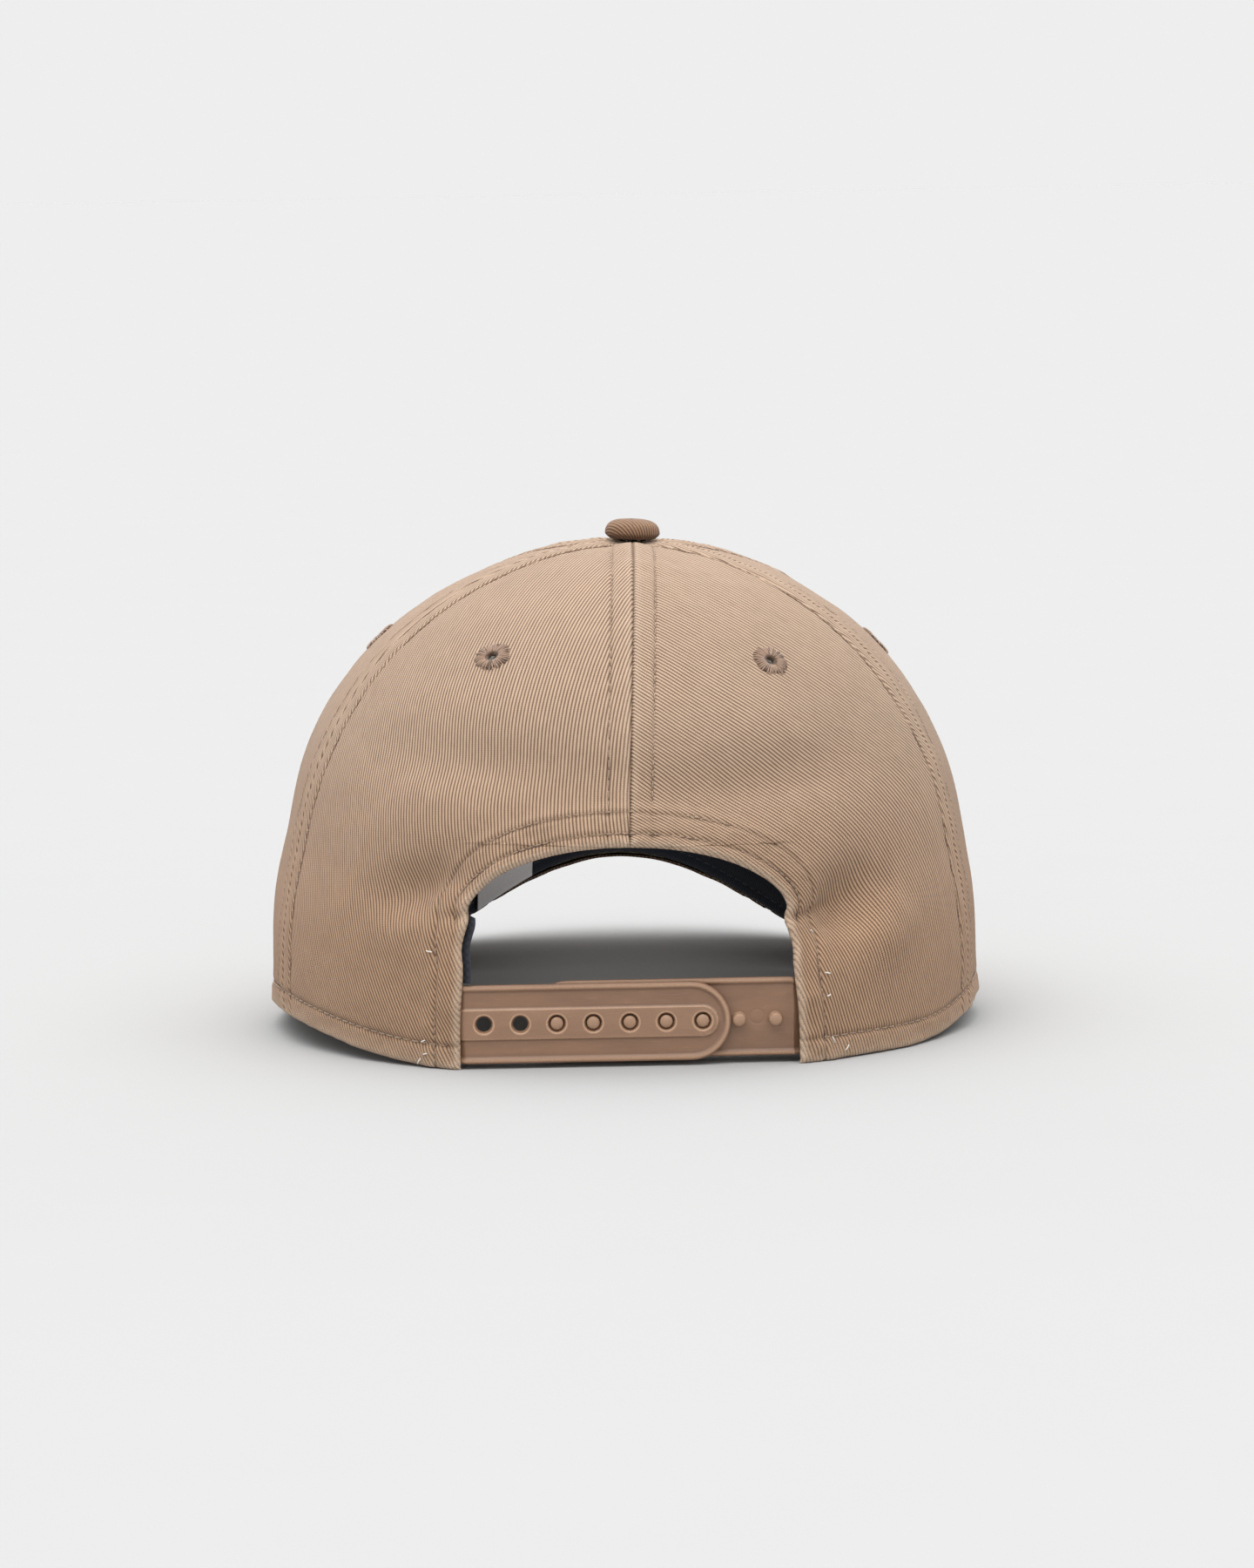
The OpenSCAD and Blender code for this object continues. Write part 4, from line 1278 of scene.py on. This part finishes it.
def ring(centre, radius, count=36):
    turn = turns(count)
    return stacked(centre + radius * np.cos(turn), radius * np.sin(turn))


def stadium(tip, half, step=0.9):
    """Outline from the root end, round the tip and back."""
    straight = np.linspace(-ROOT_L, tip, int((tip + ROOT_L) / step))
    turn = np.linspace(-pi / 2, pi / 2, max(6, int(pi * half / step * 1.4)))[1:-1]
    lower = stacked(straight, -half)
    round_end = stacked(tip + half * np.cos(turn), half * np.sin(turn))
    return np.concatenate([lower, round_end, lower[::-1] * (1, -1)])


def strap_mesh(tip, strip_tip, holes, marks):
    """Flat triangle mesh of a strap: along its length from the hinge, and across it."""
    half = STRAP_W / 2
    loops = [stadium(tip, half)] + [ring(h, HOLE_R) for h in holes]
    edges, start = [], 0
    for loop in loops:
        edges += [(start + i, start + (i + 1) % len(loop)) for i in range(len(loop))]
        start += len(loop)
    inside = [stadium(tip, half - e) for e in (0.12, 0.35, 0.7, 1.1, 1.45, 1.7, 1.95, 2.3, 3.2, 4.2, 5.2)]
    if strip_tip:
        inside += [stadium(strip_tip, STRIP_W / 2 + e, 0.8) for e in (0.55, 0.3, 0.1, -0.15, -0.45)]
    along = np.arange(-ROOT_L + 0.6, tip + half - 3, 1.15)
    inside += [stacked(along, float(t)) for t in range(-3, 4)]
    inside = np.concatenate(inside)
    reach = half - np.hypot(np.maximum(inside[:, 0] - tip, 0), inside[:, 1])
    inside = inside[(reach > 0.08) & (inside[:, 0] > -ROOT_L + 0.2)]
    for h in (*holes, *marks):
        inside = inside[np.hypot(inside[:, 0] - h, inside[:, 1]) > 3.15]
    rings = [ring(h, r) for h in holes for r in (2.05, 2.17, 2.3, 2.42, 2.55, 2.7, 2.95)]
    rings += [ring(h, r, 28) for h in marks for r in (1.6, 1.75, 1.9, 2.05, 2.2)]
    points = np.concatenate(loops + [inside] + rings)
    made = delaunay_2d_cdt([Vector(p) for p in points], edges, [], 0, 1e-5)
    flat = np.array([v[:] for v in made[0]])
    faces = np.array([f[:] for f in made[2]])
    corner = flat[faces]
    keep = np.ones(len(faces), bool)
    for h in holes:
        keep &= np.hypot(corner.mean(1)[:, 0] - h, corner.mean(1)[:, 1]) > HOLE_R * 0.995
    turn = np.cross(corner[:, 1] - corner[:, 0], corner[:, 2] - corner[:, 0])
    faces[turn < 0] = faces[turn < 0][:, ::-1]
    return flat, faces[keep & (np.abs(turn) > 1e-7)]


def closed_slab(front, rear, faces):
    """Points and faces of a slab between two layers, with a wall along each open edge."""
    count = len(front)
    edges = dict.fromkeys((int(f[i]), int(f[i - 2])) for f in faces for i in range(3))
    walls = [(b, a, a + count, b + count) for a, b in edges if (b, a) not in edges]
    return np.concatenate([front, rear]), faces.tolist() + (faces[:, ::-1] + count).tolist() + walls


def strap_relief(flat, tip, strip_tip, holes, marks, thick):
    """Depth of a strap's face and back below its face plane, its rubbed wear with painted highlights
    and its painted shade: a rolled bead, a sunk field, a raised strip and countersunk holes."""
    s, t = flat.T
    edge = STRAP_W / 2 - np.hypot(np.maximum(s - tip, 0), t)
    to_strip = np.full_like(s, -9.0)
    if strip_tip:
        to_strip = STRIP_W / 2 - np.hypot(np.maximum(s - strip_tip, 0), t)
    raised = np.maximum(fade(edge, BEAD_W - 0.35, 0.5), smooth((to_strip + 0.3) / 0.45))
    sink = FIELD_DEPTH * (1 - raised) + 0.42 * rolled(edge, 0.75) + 0.1 * hump(edge - BEAD_W + 0.2, 0.3)
    back = thick - 0.35 * rolled(edge, 0.5)
    mouth = 0 * s
    for h in holes:
        r = np.hypot(s - h, t)
        sink += 1.05 * smooth((MOUTH_R - r) / (MOUTH_R - HOLE_R))
        mouth = np.maximum(mouth, (r < 2.75) * smooth((r - 2.25) / 0.2))
        back -= 0.15 * fade(r, HOLE_R, 0.3)
    for h in marks:
        sink += 0.07 * hump(np.hypot(s - h, t) - 1.9, 0.14)
    sink += 0.04 * noise(stacked(s, t, 0), 9, 61)
    # Rubbed wear with painted highlights on the bead's crest, the strip's edges and the hole mouths, and
    # the whole strip a little lighter.
    wear_and_highlight = 0.75 * hump(edge - 0.8, 0.42) + 0.7 * hump(to_strip - 0.1, 0.22) + 0.7 * mouth
    wear_and_highlight += 0.2 * (to_strip > 0)
    # Painted shade at the inner foot of the bead and round the foot of the strip.
    painted_shade = 0.4 * hump(edge - BEAD_W - 0.15, 0.4) + 0.35 * hump(to_strip + 0.25, 0.3)
    return sink, back, wear_and_highlight, painted_shade


def peg_parts(x, face_y, z):
    """A mushroom-headed peg that points out from the strap's field."""
    turn = turns(PEG_SIDES)
    r, h = np.array(PEG_PROFILE).T[..., None]
    points = stacked(x + r * np.cos(turn), face_y + FIELD_DEPTH - h, z + r * np.sin(turn))
    return points.reshape(-1, 3), tube_faces(1, len(r), PEG_SIDES)


def make_strap(body, side, face_y, mid_z, thick, root_depth, strip_tip=None, holes=(), marks=(), pegs=()):
    """One moulded strap with its sewn-in root, which bends where it leaves the cloth: it follows the
    crown up to the cloth's edge and its own body past the hinge."""
    tip = HINGE_X + LAST_HOLE + TIP_PAST_HOLE - STRAP_W / 2
    flat, faces = strap_mesh(tip, strip_tip, holes, marks)
    sink, back, wear_and_highlight, painted_shade = strap_relief(flat, tip, strip_tip, holes, marks, thick)
    s, z = flat[:, 0], mid_z + flat[:, 1]
    phi = side * (math.asin(OPENING_W / CROWN_W) - (s + HINGE_X - OPENING_W) / CROWN_W - ROOT_TURN)
    into_root = smooth((-s - 0.3) / 3.5)[:, None]

    def layer(depth):
        line = stacked(side * (HINGE_X - s), face_y + depth, z)
        return line + (crown(phi, z, root_depth + depth) - line) * into_root

    parts = [closed_slab(layer(sink), layer(back), faces if side < 0 else faces[:, ::-1]), *pegs]
    peg_points = sum(len(points) for points, _ in pegs)
    # The peg heads get a painted highlight of 0.5 and no painted shade.
    values = {key: np.concatenate([np.tile(np.clip(value, 0, 1), 2), np.full(peg_points, on_pegs)])
              for key, value, on_pegs in (("wear_and_highlight", wear_and_highlight, 0.5), ("painted_shade", painted_shade, 0.0))}
    piece = make_piece(body, parts, PLASTIC, "strap_plastic", body=None, stands_for=[body, body + "_root"],
                       values=values)
    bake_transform(piece)


def make_closure():
    """The strap with the holes, and the strap with the pegs behind it."""
    hole_low, hole_high = node_box("hole_strap")
    peg_low, peg_high = node_box("peg_strap")
    hole_z, peg_z = (hole_low[2] + hole_high[2]) / 2, (peg_low[2] + peg_high[2]) / 2
    hole_y, peg_y = hole_low[1] - AXIS_Y, peg_high[1] - AXIS_Y - PEG_STRAP_T
    make_strap("hole_strap", -1, hole_y, hole_z, HOLE_STRAP_T, HOLE_ROOT_DEPTH, HINGE_X + LAST_HOLE,
               holes=[HINGE_X + x for x in SNAP_X])
    make_strap("peg_strap", 1, peg_y, peg_z, PEG_STRAP_T, PEG_ROOT_DEPTH, marks=[HINGE_X - SPARE_MARK],
               pegs=[peg_parts(-x, peg_y, hole_z) for x in SNAP_X])


# ---------------------------------------------------------------- studio

CAMERA_LENS = 129.58
CAMERA_AWAY = 1548.0
CAMERA_UP = radians(6.4)
CAMERA_TURN = radians(0.75)
CAMERA_ROLL = radians(-1.0)
CAMERA_SHIFT = 6.5 / 1800
LOOK_AT_Z = 64.3

# Brightness of the air, at the sine of a height above the horizon
SKY = [(0.0, 0.855), (0.12, 0.855), (0.2, 0.15), (0.45, 0.36), (0.75, 2.2), (1.0, 3.75)]
# Two wide soft panels behind and in front of the cap: how bright by height, and by place along Y
PANEL_HEIGHT = [(0.0, 0.0), (0.1, 0.0), (0.2, 1.0), (0.34, 1.0), (0.5, 0.0), (1.0, 0.0)]
PANEL_SIDE = [(0.0, 2.4), (0.35, 0.0), (0.65, 0.0), (1.0, 3.6)]


def make_floor():
    """Pale paper that reaches out to the horizon."""
    at = np.array([-30000, -8000, -2500, -800, 0, 800, 2500, 8000, 30000.0])
    faces = np.stack(grid_cells(len(at), len(at)), -1).reshape(-1, 4)
    points = stacked(at, at[:, None], -0.02).reshape(-1, 3)
    piece = new_object("studio_paper", points, faces, floor_material(), None, None)


def make_lamp(name, kind, place, target, power):
    """A lamp at a place, turned to a target."""
    light = bpy.data.lights.new(name, kind)
    light.energy = power
    lamp = bpy.data.objects.new(name, light)
    place, target = Vector(row_frame(place)), Vector(row_frame(target))
    turn = (target - place).to_track_quat("-Z", "Y")
    lamp.matrix_world = Matrix.Translation(place) @ turn.to_matrix().to_4x4()
    bpy.context.scene.collection.objects.link(lamp)
    return lamp


def make_lights():
    """Soft air that is brightest overhead, with two soft panels near the floor, a very wide far lamp
    above, and a weak one under the crown that keeps the shadow inside from going black."""
    sun = make_lamp("overhead_light", "SUN", (-350, -640, 1440), (0, -AXIS_Y, 0), 0.52)
    sun.data.angle = radians(33)
    fill = make_lamp("inside_fill", "AREA", (0, 45, 75), (0, 150, 42), 0.02)
    fill.data.size = 0.06
    fill.visible_camera = False
    world = bpy.data.worlds.new("studio_air")
    world.use_nodes = True
    air = Nodes(world.node_tree)
    way = air.node("TexCoord", out="Generated")
    panels = air.curve(way.part(2), PANEL_HEIGHT) * air.curve(way.part(1) * 0.5 + 0.5, PANEL_SIDE)
    background = air.tree.nodes["Background"].inputs
    air.feed(background["Color"], WHITE)
    air.feed(background["Strength"], air.curve(way.part(2), SKY) + panels)
    bpy.context.scene.world = world


def make_camera():
    camera = bpy.data.cameras.new("photo_camera")
    camera.lens = CAMERA_LENS
    camera.sensor_width = 36
    camera.clip_end = 80
    camera.shift_x = CAMERA_SHIFT
    flat = math.cos(CAMERA_UP)
    away = np.array([-math.sin(CAMERA_TURN) * flat, -math.cos(CAMERA_TURN) * flat, math.sin(CAMERA_UP)])
    place = row_frame((0, 0, LOOK_AT_Z)) + CAMERA_AWAY * MM * away
    turn = Vector(-away).to_track_quat("-Z", "Y").to_matrix().to_4x4()
    eye = bpy.data.objects.new("photo_camera", camera)
    eye.matrix_world = Matrix.Translation(Vector(place)) @ turn @ Matrix.Rotation(CAMERA_ROLL, 4, "Z")
    bpy.context.scene.collection.objects.link(eye)
    bpy.context.scene.camera = eye
    bpy.context.scene.view_settings.view_transform = "Standard"


# ---------------------------------------------------------------- the whole scene

make_panels()
make_stitches()
make_seam_picks()
make_loose_threads()
for end, side in (("left", -1), ("right", 1)):
    for number, spot in enumerate(EYELETS):
        make_eyelet("eyelet_%s_%s" % (spot, end), side * EYELETS[spot], 10 * number + side + 1)
make_button()
make_button_fittings()
make_band()
make_tapes()
make_arch_binding()
make_buckram()
make_visor()
make_closure()
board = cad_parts["visor_board"].data      # keeps its CAD shape
board.materials.clear()
board.materials.append(BOARD)
make_floor()
make_lights()
make_camera()
